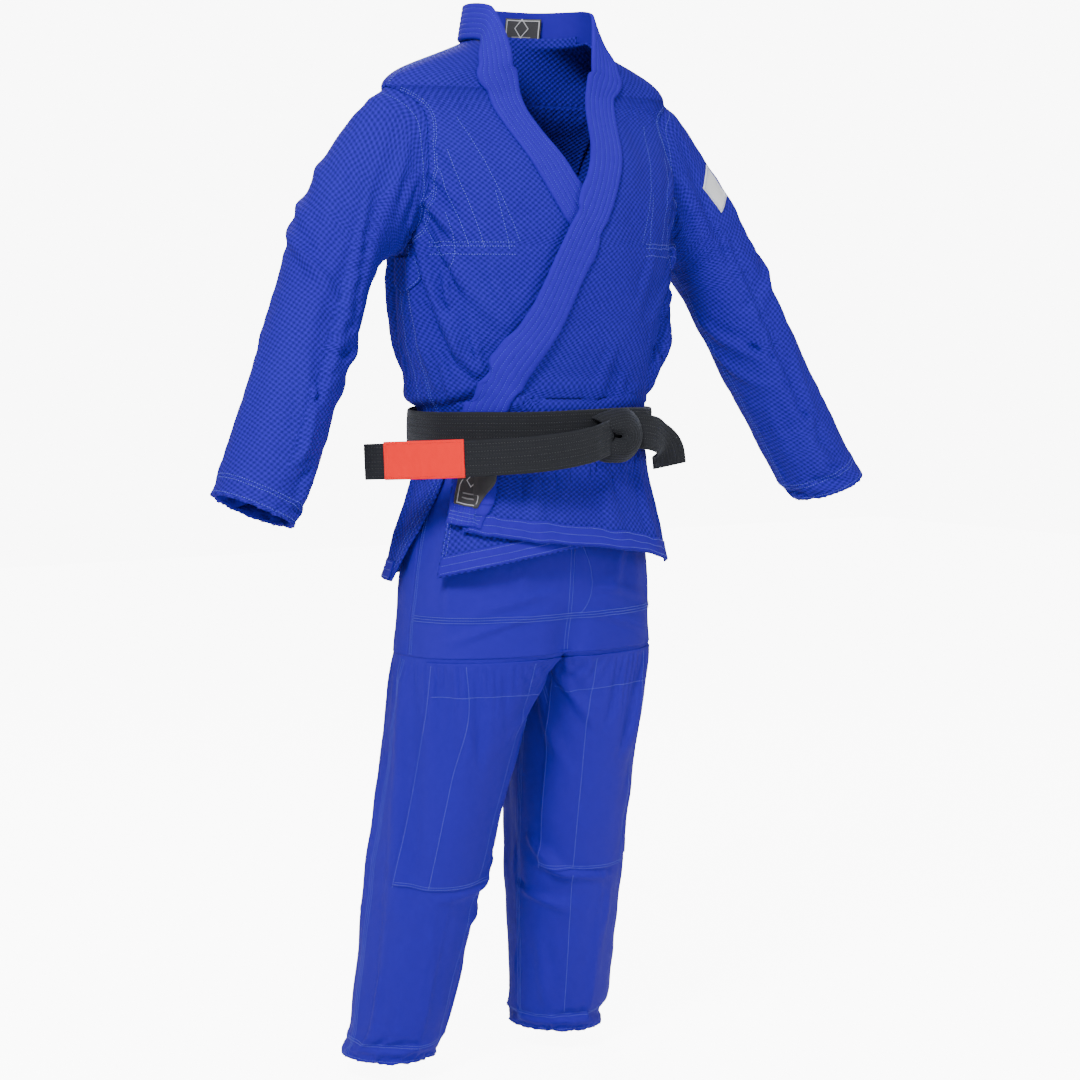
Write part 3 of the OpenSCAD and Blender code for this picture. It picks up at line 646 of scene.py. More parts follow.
def stitch_mesh(name, rows, material):
    """One mesh of many stitches, each a short rounded bead of thread that dips into the cloth at both ends."""
    a = np.concatenate([r[0] for r in rows])
    b = np.concatenate([r[1] for r in rows])
    n = np.concatenate([r[2] for r in rows])
    d = unit(b - a)
    side = unit(np.cross(d, n))
    parts = [a - n * 0.25]
    for share in (0.25, 0.75):
        centre = a + (b - a) * share
        parts += [
            centre - side * STITCH_HALF, centre + n * STITCH_RISE, centre + side * STITCH_HALF, centre - n * 0.2,
        ]
    parts.append(b - n * 0.25)
    verts = np.stack(parts, axis=1).reshape(-1, 3)
    shape = [(0, 2, 1), (0, 3, 2), (0, 4, 3), (0, 1, 4)]
    shape += [(1, 2, 6), (1, 6, 5), (2, 3, 7), (2, 7, 6), (3, 4, 8), (3, 8, 7), (4, 1, 5), (4, 5, 8)]
    shape += [(9, 5, 6), (9, 6, 7), (9, 7, 8), (9, 8, 5)]
    faces = (np.arange(len(a))[:, None, None] * 10 + np.array(shape)[None]).reshape(-1, 3)
    uv = np.stack([verts[:, 0], verts[:, 2]], axis=-1)[faces.reshape(-1)] * MM
    return new_piece(name, verts, faces, uv, material)


def seam_rows(u_path, v_path, form, off, group, shifts=(0.0,), pitch=3.4, thread="thread"):
    """Rows of stitches side by side along a path on a form; shifts are in millimetres across the path."""
    centre, lean = form.at(u_path, v_path, off)
    for shift in shifts:
        ahead = unit(np.gradient(centre, axis=0))
        side = unit(np.cross(ahead, lean))
        sew(group, centre + side * shift + lean * 0.1, lean, pitch, thread=thread)


# --- The forms of the garments ---

FORMS = {}


def turned(angle):
    """Angles from -180 to 180."""
    return (np.asarray(angle, float) + 180) % 360 - 180


def mid(a, b, t):
    return a + (b - a) * t


def armhole_edge(z, column):
    half = ARMHOLE_D * np.sqrt(np.maximum(0, 1 - ((z - ARMHOLE_Z) / ARMHOLE_H) ** 2))
    share = np.minimum(1, (half / table(z, column)) ** (SQUARENESS / 2))
    return np.minimum(89.95, np.degrees(np.arccos(share)))


def front_edge(z):
    return armhole_edge(z, JACKET_SHAPE[1])


def back_edge(z):
    return 180 - armhole_edge(z, JACKET_SHAPE[2])


def lapel_angle(z):
    return table(z, LAPEL_PATH)


def over_off(z, angle):
    """How far the left front lies off the body, because it covers the right front and its band."""
    return OVER * np.minimum(1 - step(64, 80, angle), 1 - step(305, 375, z))


# Folds on the jacket: angle and height of both ends, width, height of the ridge and bow.
JACKET_FOLDS = (
    ((-80, 238), (-46, 62), 13, 4.2, 10), ((-70, 262), (-30, 120), 11, 3.0, 8), ((-64, 210), (-60, 48), 10, 3.4, -4),
    ((-86, 214), (-78, 40), 9, 3.6, 4), ((-74, 300), (-56, 240), 8, 3.4, -5), ((-68, 335), (-50, 268), 9, 3.0, -6),
    ((-60, 372), (-44, 300), 10, 2.4, -4), ((-42, 230), (-22, 96), 12, 2.2, 6), ((-52, 128), (-40, 36), 8, 2.6, 0),
    ((-34, 96), (-30, 30), 7, 2.0, 0), ((-72, 104), (-70, 30), 7, 3.0, 0), ((-22, 420), (-16, 300), 15, 2.0, 0),
    ((80, 240), (50, 66), 13, 4.6, -10), ((72, 268), (34, 130), 11, 3.2, -8), ((64, 214), (62, 44), 10, 3.6, 4),
    ((87, 216), (80, 40), 9, 3.6, -4), ((72, 306), (54, 244), 8, 3.2, 5), ((64, 340), (46, 272), 9, 2.6, 6),
    ((36, 236), (10, 100), 13, 2.6, -8), ((40, 130), (34, 36), 8, 2.6, 0), ((14, 118), (8, 34), 9, 2.2, 0),
    ((54, 104), (52, 30), 7, 2.8, 0), ((24, 80), (22, 28), 7, 2.2, 0), ((22, 420), (20, 300), 15, 1.8, 0),
    ((100, 240), (132, 52), 14, 4.4, -8), ((112, 300), (150, 110), 14, 3.2, -8), ((124, 210), (128, 40), 11, 3.4, 4),
    ((150, 330), (160, 44), 15, 2.8, 6), ((180, 380), (176, 44), 17, 2.6, -6), ((142, 120), (144, 32), 8, 3.0, 0),
    ((166, 110), (166, 32), 8, 2.6, 0), ((204, 340), (198, 44), 15, 2.8, -6), ((192, 116), (190, 32), 8, 2.8, 0),
    ((262, 240), (228, 52), 14, 4.4, 8), ((250, 300), (212, 110), 14, 3.0, 8), ((236, 210), (232, 40), 11, 3.2, -4),
    ((218, 120), (216, 32), 8, 3.0, 0), ((246, 110), (244, 32), 8, 2.6, 0), ((104, 120), (106, 32), 8, 3.0, 0),
    ((258, 120), (256, 32), 8, 3.0, 0),
    ((-50, -34), (-40, -150), 10, 2.2, 4), ((-24, -34), (-14, -160), 11, 2.8, 6), ((8, -34), (18, -165), 12, 3.0, 6),
    ((36, -34), (44, -175), 12, 3.0, 4), ((60, -34), (60, -180), 9, 2.4, 0),
    ((112, -34), (110, -190), 14, 4.0, 4), ((140, -34), (136, -195), 15, 4.4, 4), ((168, -34), (172, -195), 16, 4.0, -4),
    ((196, -34), (198, -195), 15, 4.4, 4), ((224, -34), (226, -195), 15, 4.2, -4), ((250, -34), (250, -190), 13, 3.8, 0),
)


def make_jacket_form():
    z = np.concatenate([np.arange(-200, 400, 3.0), np.arange(400, 497, 1.2), np.arange(497, 514, 2.0)])
    angle = np.arange(720) / 2
    zz, aa = z[:, None], angle[None, :]
    form = Form(z, body_point(JACKET_SHAPE, zz + 0 * aa, aa + 0 * zz), 1)
    x = turned(aa) * 2.6
    relief = np.zeros((len(z), 720))
    for (a0, z0), (a1, z1), width, height, bow in JACKET_FOLDS:
        behind = max(a0, a1) > 95
        around = (aa if behind else turned(aa)) * 2.6
        relief += fold(around, zz, (a0 * 2.6, z0), (a1 * 2.6, z1), width, height * 1.35, bow)
    relief += ripples(x, zz, 4, 70, 0.8) + ripples(x, zz, 5, 26, 0.28)
    at_back = step(84, 110, np.abs(turned(aa)))
    # The cloth blouses out above and below the belt, most of all behind.
    relief += (2.0 + 7.5 * at_back) * np.exp(-(((zz - 42) / 20) ** 2))
    relief += (1.5 + 7.0 * at_back) * np.exp(-(((zz + 40) / 16) ** 2))
    loose = step(20, 40, np.abs(zz)) * (1 - step(440, 480, zz))
    for side in (LEFT, RIGHT):
        gap = (turned(aa) - side * table(zz, LAPEL_PATH)) * 2.6
        loose = loose * (1 - 0.9 * np.exp(-((gap / 36) ** 4)) * step(-60, -20, zz))
    edge_calm = 1 - 0.6 * np.exp(-(((np.abs(turned(aa)) - 90) / 7) ** 2)) * step(225, 260, zz)
    form.press(relief * loose * edge_calm)
    held = lambda u, v: np.maximum(
        np.maximum(np.exp(-((u / 30) ** 2)), step(400, 425, u)),
        np.exp(-(((np.abs(turned(v)) - 90) / 6) ** 2)) * step(215, 250, u),
    )
    rows, shift = settle(form, 130, 230, held, 0.035, 0.6, 7.0)
    moved = spread(form, rows, shift)
    moved = moved - moved.mean(axis=1, keepdims=True) * 0.7
    form.press((relief + moved * 0.9) * loose * edge_calm)
    FORMS["jacket"] = form


TROUSER_FOLDS = (
    ((-8, -232), (-66, -276), 8, 3.0, 0), ((-4, -210), (-50, -236), 9, 2.2, 3), ((6, -238), (60, -280), 8, 3.4, 0),
    ((8, -205), (52, -232), 9, 2.4, -3), ((-30, -110), (-14, -230), 12, 2.6, 4), ((30, -110), (16, -230), 12, 2.6, -4),
    ((-64, -100), (-60, -270), 13, 2.4, 4), ((64, -100), (60, -270), 13, 2.4, -4),
    ((176, -215), (118, -280), 10, 4.0, 3), ((184, -215), (242, -280), 10, 4.0, -3), ((170, -120), (140, -250), 14, 3.0, 4),
    ((190, -120), (220, -250), 14, 3.0, -4), ((130, -60), (126, -260), 14, 2.6, 0), ((230, -60), (234, -260), 14, 2.6, 0),
)


def make_seat_form():
    z = np.arange(-292, 66, 2.0)
    angle = np.arange(720) / 2
    zz, aa = z[:, None], angle[None, :]
    form = Form(z, body_point(TROUSER_SHAPE, zz + 0 * aa, aa + 0 * zz), 1)
    relief = np.zeros((len(z), 720))
    for (a0, z0), (a1, z1), width, height, bow in TROUSER_FOLDS:
        around = (aa if max(a0, a1) > 95 else turned(aa)) * 2.5
        relief += fold(around, zz, (a0 * 2.5, z0), (a1 * 2.5, z1), width, height, bow)
    relief += ripples(turned(aa) * 2.5, zz, 8, 60, 0.7)
    # The middle seam pulls the cloth in, front and back, towards the crotch.
    seam = np.exp(-((turned(aa) / 5) ** 2)) + np.exp(-((turned(aa - 180) / 6) ** 2))
    relief -= seam * 9 * (1 - step(-290, -190, zz))
    relief = relief * (1 - step(-70, -45, zz))
    # The two panels beside the thigh seam lie over one another in a low ridge.
    relief += 0.9 * np.exp(-(((zz + 241) / 4.5) ** 2)) * (np.abs(turned(aa)) < 88)
    form.press(relief)
    FORMS["seat"] = form


# Folds along a sleeve: place along it and round it at both ends, width, height and bow.
SLEEVE_FOLDS = (
    ((40, 330), (190, 20), 11, 4.6, 10), ((70, 300), (240, -10), 11, 4.0, 12), ((20, 350), (120, 40), 10, 3.4, 6),
    ((100, 285), (250, -40), 10, 3.2, 8), ((150, 10), (330, 24), 15, 2.6, -8), ((210, 262), (300, 330), 11, 3.6, 6),
    ((250, 250), (345, 320), 10, 3.0, 6), ((60, 60), (300, 40), 17, 2.4, 8), ((90, 150), (310, 120), 15, 3.0, -8),
    ((50, 200), (230, 150), 12, 3.6, -8), ((80, 235), (260, 190), 12, 3.2, -6), ((300, 20), (450, -8), 13, 2.2, 6),
    ((300, 190), (440, 210), 13, 2.2, 6), ((290, 100), (470, 92), 14, 1.8, 0), ((350, 300), (470, 290), 12, 2.0, 0),
)


def make_sleeve_form(side):
    """u is the distance from the armhole and v the angle round the arm: 0 in front, 90 outside."""
    angle = np.arange(480) * 0.75
    s, c = np.sin(np.radians(angle)), np.cos(np.radians(angle))
    z = ARMHOLE_Z + ARMHOLE_H * s
    edge = np.where(c > 0, front_edge(z), back_edge(z))
    hole, _ = FORMS["jacket"].at(z, side * edge, CLOTH * 0.45)
    rings = [hole]
    for centre, half, tilt, depth in SLEEVE_SECTIONS:
        ring = np.array(centre)[None] + half * s[:, None] * np.array(
            [math.cos(math.radians(tilt)), 0, math.sin(math.radians(tilt))]
        )
        ring[:, 1] -= depth * c
        ring[:, 0] *= side
        rings.append(ring)
    rings = np.stack(rings)
    centres = rings.mean(axis=1)
    stations = np.concatenate([[0], np.cumsum(np.linalg.norm(np.diff(centres, axis=0), axis=-1))])
    u = np.linspace(0, stations[-1], 250)
    form = Form(u, smooth_between(u, stations, rings), -side)
    uu, vv = u[:, None], angle[None, :]
    relief = np.zeros((len(u), 480))
    stronger = 1.3 if side == RIGHT else 1.4
    for (u0, v0), (u1, v1), width, height, bow in SLEEVE_FOLDS:
        for around in (vv, vv - 360):
            relief += fold(uu, around * 0.98, (u0, v0 * 0.98), (u1, v1 * 0.98), width, height * stronger, bow)
    relief += ripples(uu, turned(vv - 90), 20 + side, 80, 0.9) + ripples(uu, turned(vv - 90), 30 + side, 30, 0.3)
    # A pressed crease runs down the back of the sleeve from the shoulder.
    relief += 1.8 * np.exp(-((turned(vv - 118) / 5.0) ** 2)) * step(60, 160, uu)
    # The sleeve's head is full, and rolls over the armhole seam.
    relief += 5.0 * np.exp(-(((uu - 26) / 22) ** 2)) * np.exp(-((turned(vv - 90) / 46) ** 2))
    relief *= step(0, 20, uu)
    form.press(relief)
    held = lambda a, b: np.maximum(1 - step(6, 40, a), 0.35 * step(u[-1] - 24, u[-1] - 8, a)) + 0 * b
    rows, shift = settle(form, 120, 96, held, 0.04, 0.45, 6.0)
    moved = spread(form, rows, shift)
    moved = moved - moved.mean(axis=1, keepdims=True) * 0.85
    form.press(relief + moved * step(2, 26, uu))
    FORMS["sleeve", side] = form


# Folds along a leg: drop below the crotch and angle round the leg at both ends, width, height and bow.
LEG_FOLDS = (
    ((4, -60), (110, -14), 9, 3.6, 6), ((10, -74), (170, -40), 10, 3.2, 8), ((0, 40), (150, 22), 14, 2.6, 6),
    ((20, 84), (280, 70), 15, 2.4, -6), ((250, -80), (330, -20), 11, 3.6, 5), ((300, -70), (322, 26), 10, 2.8, 5),
    ((335, -84), (366, -22), 10, 3.0, 4), ((60, 230), (200, 180), 13, 3.6, 6), ((30, 200), (150, 150), 13, 3.6, 6),
    ((260, 150), (330, 210), 12, 4.2, -4), ((300, 128), (372, 196), 12, 3.6, -4), ((345, 120), (420, 190), 13, 3.0, -4),
    ((330, 20), (520, 6), 15, 2.2, 4), ((350, 200), (530, 190), 16, 3.0, -4), ((400, -60), (545, -40), 13, 2.6, 4),
    ((420, 60), (548, 66), 14, 2.0, 0), ((120, 110), (420, 112), 16, 2.4, 4),
)


def leg_centre(t):
    return np.stack([mid(THIGH_X, HEM_X, t), mid(12, HEM_Y, t**0.85), CROTCH - LEG_LEN * t])


def make_leg_form(side):
    """u is the drop below the crotch and v the angle round the leg: 0 in front, 90 outside."""
    angle = np.arange(640) * 0.5625
    s, c = np.sin(np.radians(angle)), np.cos(np.radians(angle))
    # The top ring follows the seat round the outside and runs straight under the crotch inside.
    away = (angle + 45) % 360
    outer, _ = FORMS["seat"].at(CROTCH, side * np.clip(away, 0, 270) / 270 * 180, -DRILL / 2)
    front, back = FORMS["seat"].at(CROTCH, 0, -DRILL / 2)[0], FORMS["seat"].at(CROTCH, 180, -DRILL / 2)[0]
    share = np.clip((away - 270) / 90, 0, 1)[:, None]
    inner = back + (front - back) * share
    inner[:, 0] = side * 0.8
    inner[:, 2] = CROTCH - 5 * np.sin(np.pi * share[:, 0])
    rings = [np.where((away > 270)[:, None], inner, outer)]
    for t, width, depth in LEG_SECTIONS:
        ring = np.repeat(leg_centre(t)[None], len(angle), axis=0)
        ring[:, 0] += width / 2 * s
        ring[:, 1] -= depth / 2 * c
        ring[:, 0] *= side
        rings.append(ring)
    u = np.concatenate([np.arange(0, 40, 1.5), np.linspace(40, LEG_LEN, 230)])
    stations = [0] + [t * LEG_LEN for t, _, _ in LEG_SECTIONS]
    form = Form(u, smooth_between(u, stations, np.stack(rings)), -side)
    uu, vv = u[:, None], angle[None, :]
    relief = np.zeros((len(u), 640))
    stronger = 1.45 if side == RIGHT else 1.7
    for (u0, v0), (u1, v1), width, height, bow in LEG_FOLDS:
        for around in (vv, vv - 360):
            relief += fold(uu, around * 1.35, (u0, v0 * 1.35), (u1, v1 * 1.35), width, height * stronger, bow)
    relief += ripples(uu, turned(vv - 90) * 1.35, 40 + side, 90, 0.9)
    # Pressed creases down the front and the back.
    relief += 1.6 * np.exp(-((turned(vv - 4) / 4.0) ** 2)) * step(300, 380, uu)
    relief += 2.0 * np.exp(-((turned(vv - 176) / 5.0) ** 2)) * step(150, 260, uu)
    relief *= step(0, 22, uu)
    form.press(relief)
    held = lambda a, b: np.maximum(1 - step(4, 30, a), 0.3 * step(LEG_LEN - 24, LEG_LEN - 8, a)) + 0 * b
    rows, shift = settle(form, 130, 110, held, 0.03, 0.5, 6.0)
    moved = spread(form, rows, shift)
    moved = moved - moved.mean(axis=1, keepdims=True) * 0.85
    form.press(relief + moved * step(0, 22, uu))
    FORMS["leg", side] = form


def side_name(side):
    return "left" if side == LEFT else "right"


# --- Jacket pieces ---


def panel(name, form, u, low_v, high_v, cols, low, high, material):
    """A sheet over part of a form: low_v and high_v are the angles of its two edges at each height."""
    share = np.linspace(0, 1, cols)[None, :]
    v = low_v[:, None] + (high_v - low_v)[:, None] * share
    uu = u[:, None] + 0 * v
    lift_low = low(uu, v) if callable(low) else low + 0 * v
    inner, _ = form.at(uu, v, lift_low)
    outer, _ = form.at(uu, v, lift_low + high)
    return sheet(name, outer, inner, material), outer


def panel_heights(top):
    return np.concatenate([np.linspace(-30, 400, 130), np.linspace(403, top, 46)])


def build_back():
    z = panel_heights(BACK_TOP)
    piece, grid = panel(
        "jacket_back_panel", FORMS["jacket"], z, back_edge(z), 360 - back_edge(z), 190, 0.0, CLOTH, MATERIALS["weave"]
    )
    declare(piece, grid, "jacket_back", ["right_front", "left_front"])
    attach(piece, "jacket")
    z = np.linspace(275, 422, 50)
    yoke, grid = panel(
        "upper_back_lining", FORMS["jacket"], z, 140 + 0 * z, 220 + 0 * z, 70, -2.9, 2.0, MATERIALS["weave"]
    )
    declare(yoke, grid, "chest_patch", ["jacket_back"])
    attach(yoke, "jacket")
    form = FORMS["jacket"]
    seam_rows(np.linspace(-20, 482, 220), np.full(220, 180.0), form, CLOTH, "jacket", (-3, 3))
    seam_rows(np.full(160, 275.0), np.linspace(140, 220, 160), form, CLOTH, "jacket", (-2, 2))
    for edge in (140.0, 220.0):
        seam_rows(np.linspace(276, 422, 80), np.full(80, edge), form, CLOTH, "jacket", (-2, 2))


def build_front(side):
    z = panel_heights(PANEL_TOP)
    low = over_off if side == LEFT else (lambda zz, v: 0 * v)
    form = FORMS["jacket"]
    share = np.linspace(0, 1, 150)[None, :]
    v = lapel_angle(z)[:, None] + (front_edge(z) - lapel_angle(z))[:, None] * share
    zz = z[:, None] + 0 * v
    inner, _ = form.at(zz, side * v, low(zz, v))
    outer, _ = form.at(zz, side * v, low(zz, v) + CLOTH)
    name = side_name(side)
    piece = sheet(name + "_front_panel", outer, inner, MATERIALS["weave"])
    declare(piece, outer, name + "_front", ["jacket_back"])
    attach(piece, "jacket")
    stitch_front(side, form, low)


def stitch_front(side, form, low):
    """Side seam, armhole seam, shoulder seam and the rows that quilt the chest."""

    def line(z, v, shifts=(0.0,), pitch=3.4):
        z, v = np.asarray(z, float), np.asarray(v, float)
        seam_rows(z, side * v, form, low(z, v) + CLOTH, "jacket", shifts, pitch)

    z = np.linspace(-26, 236, 120)
    line(z, np.full(120, 86.5), (0, 4))
    line(z, np.full(120, 93.5), (0,))
    z = np.linspace(432, 484, 40)
    line(z, np.full(40, 87.0), (0, 3))
    z = np.linspace(240, 426, 120)
    line(z, front_edge(z) - 3.2, (0, 3))
    for z0, z1, a0, a1 in ((392, 236, 40, 25), (350, 228, 52, 42), (330, 232, 60, 50), (300, 226, 33, 30)):
        line(np.linspace(z0, z1, 60), np.linspace(a0, a1, 60))
    for z in (236, 231, 221):
        line(np.full(70, float(z)), np.linspace(74, 27, 70))
    t = np.linspace(0, 1, 50)
    line(300 - 78 * t, 66 + 8 * np.sin(t * 3.1))
    line(272 - 70 * t, 61 - 3 * np.sin(t * 3.1))


def band_profile(cols, rows_of_stitches, rise):
    """Height across a band that is sewn flat in rows: it swells between each pair and dips at each."""
    s = np.linspace(-1, 1, cols)
    swell = np.abs(np.sin((s + 1) / 2 * math.pi * (rows_of_stitches + 1)))
    return rise * (np.sqrt(swell) - 1)


BAND_COLS, BAND_ROWS = 57, 6


def lapel_rows(side, low_z, high_z, step_mm, over, collar):
    """Rows of points across a lapel band from its low end, and on round the collar, with their normals."""
    form = FORMS["jacket"]
    s = np.linspace(-1, 1, BAND_COLS) * BAND_W / 2
    rows = []
    for z in np.arange(low_z, high_z, step_mm):
        a = lapel_angle(z)
        here = body_point(JACKET_SHAPE, z, side * a)
        along = body_point(JACKET_SHAPE, z + 4, side * lapel_angle(z + 4)) - body_point(
            JACKET_SHAPE, z - 4, side * lapel_angle(z - 4)
        )
        _, n = form.at(z, side * a)
        across = unit(np.cross(along, n)) * side
        turn = (body_point(JACKET_SHAPE, z, side * (a + 1)) - body_point(JACKET_SHAPE, z, side * (a - 1))) / 2
        per_mm = float(across @ turn) / float(turn @ turn)
        zs, angles = z + s * across[2], a + s * per_mm
        rows.append(form.at(zs, side * angles, BAND_LOW + over(zs, angles))[0])
    if collar:
        for place, down in COLLAR:
            down, place = np.array(down), np.array(place, float)
            row = place[None] + s[:, None] * down[None] + BAND_LOW * unit(np.array([place[0] * 0.9, place[1] * 1.1 + 8, 0]))
            row[:, 0] *= side
            rows.append(row)
    rows = np.stack(rows)
    middle = rows[:, BAND_COLS // 2]
    reach = np.concatenate([[0], np.cumsum(np.linalg.norm(np.diff(middle, axis=0), axis=-1))])
    return smooth_between(np.linspace(0, reach[-1], int(reach[-1] / 2.4)), reach, rows)


def band_sheet(name, grid, side, thick, ridge_rows, rise, material):
    across, along = np.gradient(grid, axis=1), np.gradient(grid, axis=0)
    n = unit(np.cross(across, along)) * side
    for _ in range(3):
        n = unit(n + np.roll(n, 1, 0) * 0.5 + np.roll(n, -1, 0) * 0.5) if len(n) > 4 else n
    n[0], n[-1] = n[1], n[-2]
    profile = band_profile(grid.shape[1], ridge_rows, rise)
    s = np.linspace(-1, 1, grid.shape[1])
    profile = profile - 0.9 * np.abs(s) ** 14
    outer = grid + n * (thick + profile)[None, :, None]
    return sheet(name, outer, grid, material), outer, n


def stitch_band(outer, n, rows_of_stitches, group, thread="thread", pitch=3.2):
    cols = outer.shape[1]
    for k in range(1, rows_of_stitches + 1):
        place = k / (rows_of_stitches + 1) * (cols - 1)
        j, f = int(place), place - int(place)
        line = outer[:, j] * (1 - f) + outer[:, min(j + 1, cols - 1)] * f
        sew(group, line - n[:, j] * 0.05, n[:, j], pitch, thread=thread)


def build_lapel(side):
    over = over_off if side == LEFT else (lambda z, v: 0 * z)
    grid = lapel_rows(side, -30, 474, 7, over, True)
    name = side_name(side)
    piece, outer, n = band_sheet(name + "_lapel_band", grid, side, BAND_T + 1.2, BAND_ROWS, 0.9, MATERIALS["band"])
    declare(piece, outer, name + "_lapel", [name + "_front"])
    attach(piece, "jacket")
    stitch_band(outer, n, BAND_ROWS, "jacket")


def build_gusset(side):
    form, name = FORMS["jacket"], side_name(side)
    t = np.linspace(0, 1, 40)
    z = 177 + 42 * t
    half = np.interp(z, [177, 197, 219], [4, 11, 8])
    share = np.linspace(-1, 1, 36)[None, :]
    v = 90 + half[:, None] * share
    zz = z[:, None] + 0 * v
    inner, _ = form.at(zz, side * v, CLOTH + 0.3)
    outer, _ = form.at(zz, side * v, CLOTH + 2.4)
    piece = sheet(name + "_underarm_gusset", outer, inner, MATERIALS["weave"])
    declare(piece, outer, name + "_gusset", ["jacket_back", name + "_front"])
    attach(piece, "jacket")
    for edge in (-0.86, 0.86):
        seam_rows(z[1:-1], side * (90 + half[1:-1] * edge), form, CLOTH + 2.4, "jacket")


def build_neck_label():
    w, h, tilt = 25.0, 17.0, math.radians(9.8)
    s, t = np.linspace(-1, 1, 25)[None, :], np.linspace(-1, 1, 17)[:, None]
    x, up = w * s + 0 * t, h * t + 0 * s
    # It is sewn a little to the wearer's left of the middle, against the inside of the collar.
    across = 33 + x * 0.92
    y = 70.4 * (1 - np.abs(across / 78) ** SQUARENESS) ** (1 / SQUARENESS)
    outer = np.stack([across, y - up * math.sin(tilt), 518 + up * math.cos(tilt)], axis=-1)
    inner = outer + np.array([0.2, 1.1, 0])
    uv = np.stack([x * MM + 0 * up, (up + h) * MM], axis=-1)
    piece = sheet("neck_label_sheet", outer, inner, MATERIALS["neck_label"], uv)
    declare(piece, outer, "neck_label", ["left_lapel", "right_lapel"])
    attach(piece, "jacket")


# --- Sleeves ---


def tube(name, form, u, cols, low, high, material):
    v = np.arange(cols)[None, :] * 360 / cols
    uu, vv = u[:, None] + 0 * v, v + 0 * u[:, None]
    inner, _ = form.at(uu, vv, low)
    outer, _ = form.at(uu, vv, high)
    return sheet(name, outer, inner, material, closed=True), outer


def sleeve_blend(piece, side):
    side_name(side) + "_jacket_sleeve"
    side * 0.200
    side * 0.262
    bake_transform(piece)


def build_sleeve(side):
    form, name = FORMS["sleeve", side], side_name(side)
    end = form.u[-1]
    piece, grid = tube(name + "_sleeve_cloth", form, np.linspace(0, end, 215), 170, -CLOTH, 0.0, MATERIALS["weave_slant"])
    declare(piece, grid, name + "_sleeve", [name + "_front", "jacket_back"], closed=True)
    sleeve_blend(piece, side)
    tape, grid = tube(
        name + "_cuff_facing", form, np.linspace(end - 27, end - 0.5, 14), 110, -CLOTH - 2.2, -CLOTH - 0.2, MATERIALS["tape"]
    )
    declare(tape, grid, name + "_cuff_tape", [name + "_sleeve"], closed=True)
    sleeve_blend(tape, side)
    ring = np.linspace(0, 360, 200)
    for back in (4.0, 22.0, 27.0):
        seam_rows(np.full(200, end - back), ring, form, 0.0, "sleeve_" + name)
    seam_rows(np.linspace(12, end - 6, 220), np.full(220, 262.0), form, 0.0, "sleeve_" + name, (-3, 3))
    seam_rows(np.full(160, 9.0), np.linspace(0, 360, 160), form, 0.0, "sleeve_" + name)


def build_sleeve_patch():
    form = FORMS["sleeve", LEFT]
    u, v = np.linspace(62, 100, 24), np.linspace(14, 46, 30)
    uu, vv = np.meshgrid(u, v, indexing="ij")
    inner, _ = form.at(uu, vv, 0.05)
    outer, n = form.at(uu, vv, 1.7)
    piece = sheet("plain_sleeve_patch", outer, inner, MATERIALS["patch"])
    declare(piece, outer, "sleeve_patch", ["left_sleeve"])
    sleeve_blend(piece, LEFT)
    border = [(u[0] + 2, v[1]), (u[-1] - 2, v[1]), (u[-1] - 2, v[-2]), (u[0] + 2, v[-2]), (u[0] + 2, v[1])]
    for (u0, v0), (u1, v1) in zip(border, border[1:]):
        seam_rows(np.linspace(u0, u1, 20), np.linspace(v0, v1, 20), form, 1.7, "sleeve_left", pitch=2.6)


# --- Skirts ---


def front_hem(angle):
    return np.interp(angle, [-57, -10, 68], [-128, -144, -185])


def skirt_blend(piece):
    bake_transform(piece)


def skirt_place(side, t, share, step_up):
    """Grid over a front skirt: t from the belt to the hem, share from the lapel's edge to the vent."""
    top = mid(float(lapel_angle(SKIRT_TOP)), 72.0, share)
    hem = mid(-57.0, 68.0, share)
    angle = mid(top, hem, t)
    z = mid(SKIRT_TOP, front_hem(hem), t)
    return z, angle


def build_front_skirt(side):
    form, name = FORMS["jacket"], side_name(side)
    lift = OVER if side == LEFT else 0.0
    t, share = np.linspace(0, 1, 90)[:, None], np.linspace(0, 1, 170)[None, :]
    z, angle = skirt_place(side, t, share, lift)
    ease = lift * (1 - 0.55 * step(60, 80, angle) * step(-60, -120, z))
    inner, _ = form.at(z, side * angle, ease)
    outer, _ = form.at(z, side * angle, ease + CLOTH)
    piece = sheet(name + "_skirt_panel", outer, inner, MATERIALS["weave"])
    declare(piece, outer, name + "_skirt", [name + "_front"])
    skirt_blend(piece)
    # The facing turns up outside the hem as a flat twill tape.
    angle = np.linspace(-54, 67.2, 150)[None, :] + 0 * np.linspace(0, 1, 12)[:, None]
    rise = np.linspace(1.0, 25.0, 12)[:, None]
    z = front_hem(angle) + rise
    inner, _ = form.at(z, side * angle, lift + CLOTH + 0.05)
    outer, _ = form.at(z, side * angle, lift + CLOTH + 1.3)
    tape = sheet(name + "_hem_facing", outer, inner, MATERIALS["tape"])
    declare(tape, outer, name + "_hem_tape", [name + "_skirt"])
    skirt_blend(tape)
    run = np.linspace(-53, 66.5, 200)
    for rise in (3.5, 13.0, 22.5):
        seam_rows(front_hem(run) + rise, side * run, form, lift + CLOTH + 1.3, "front_skirts")
    t = np.linspace(0.02, 0.97, 90)
    for share in (0.972, 0.99):
        z, angle = skirt_place(side, t, share, lift)
        seam_rows(z, side * angle, form, lift + CLOTH, "front_skirts")


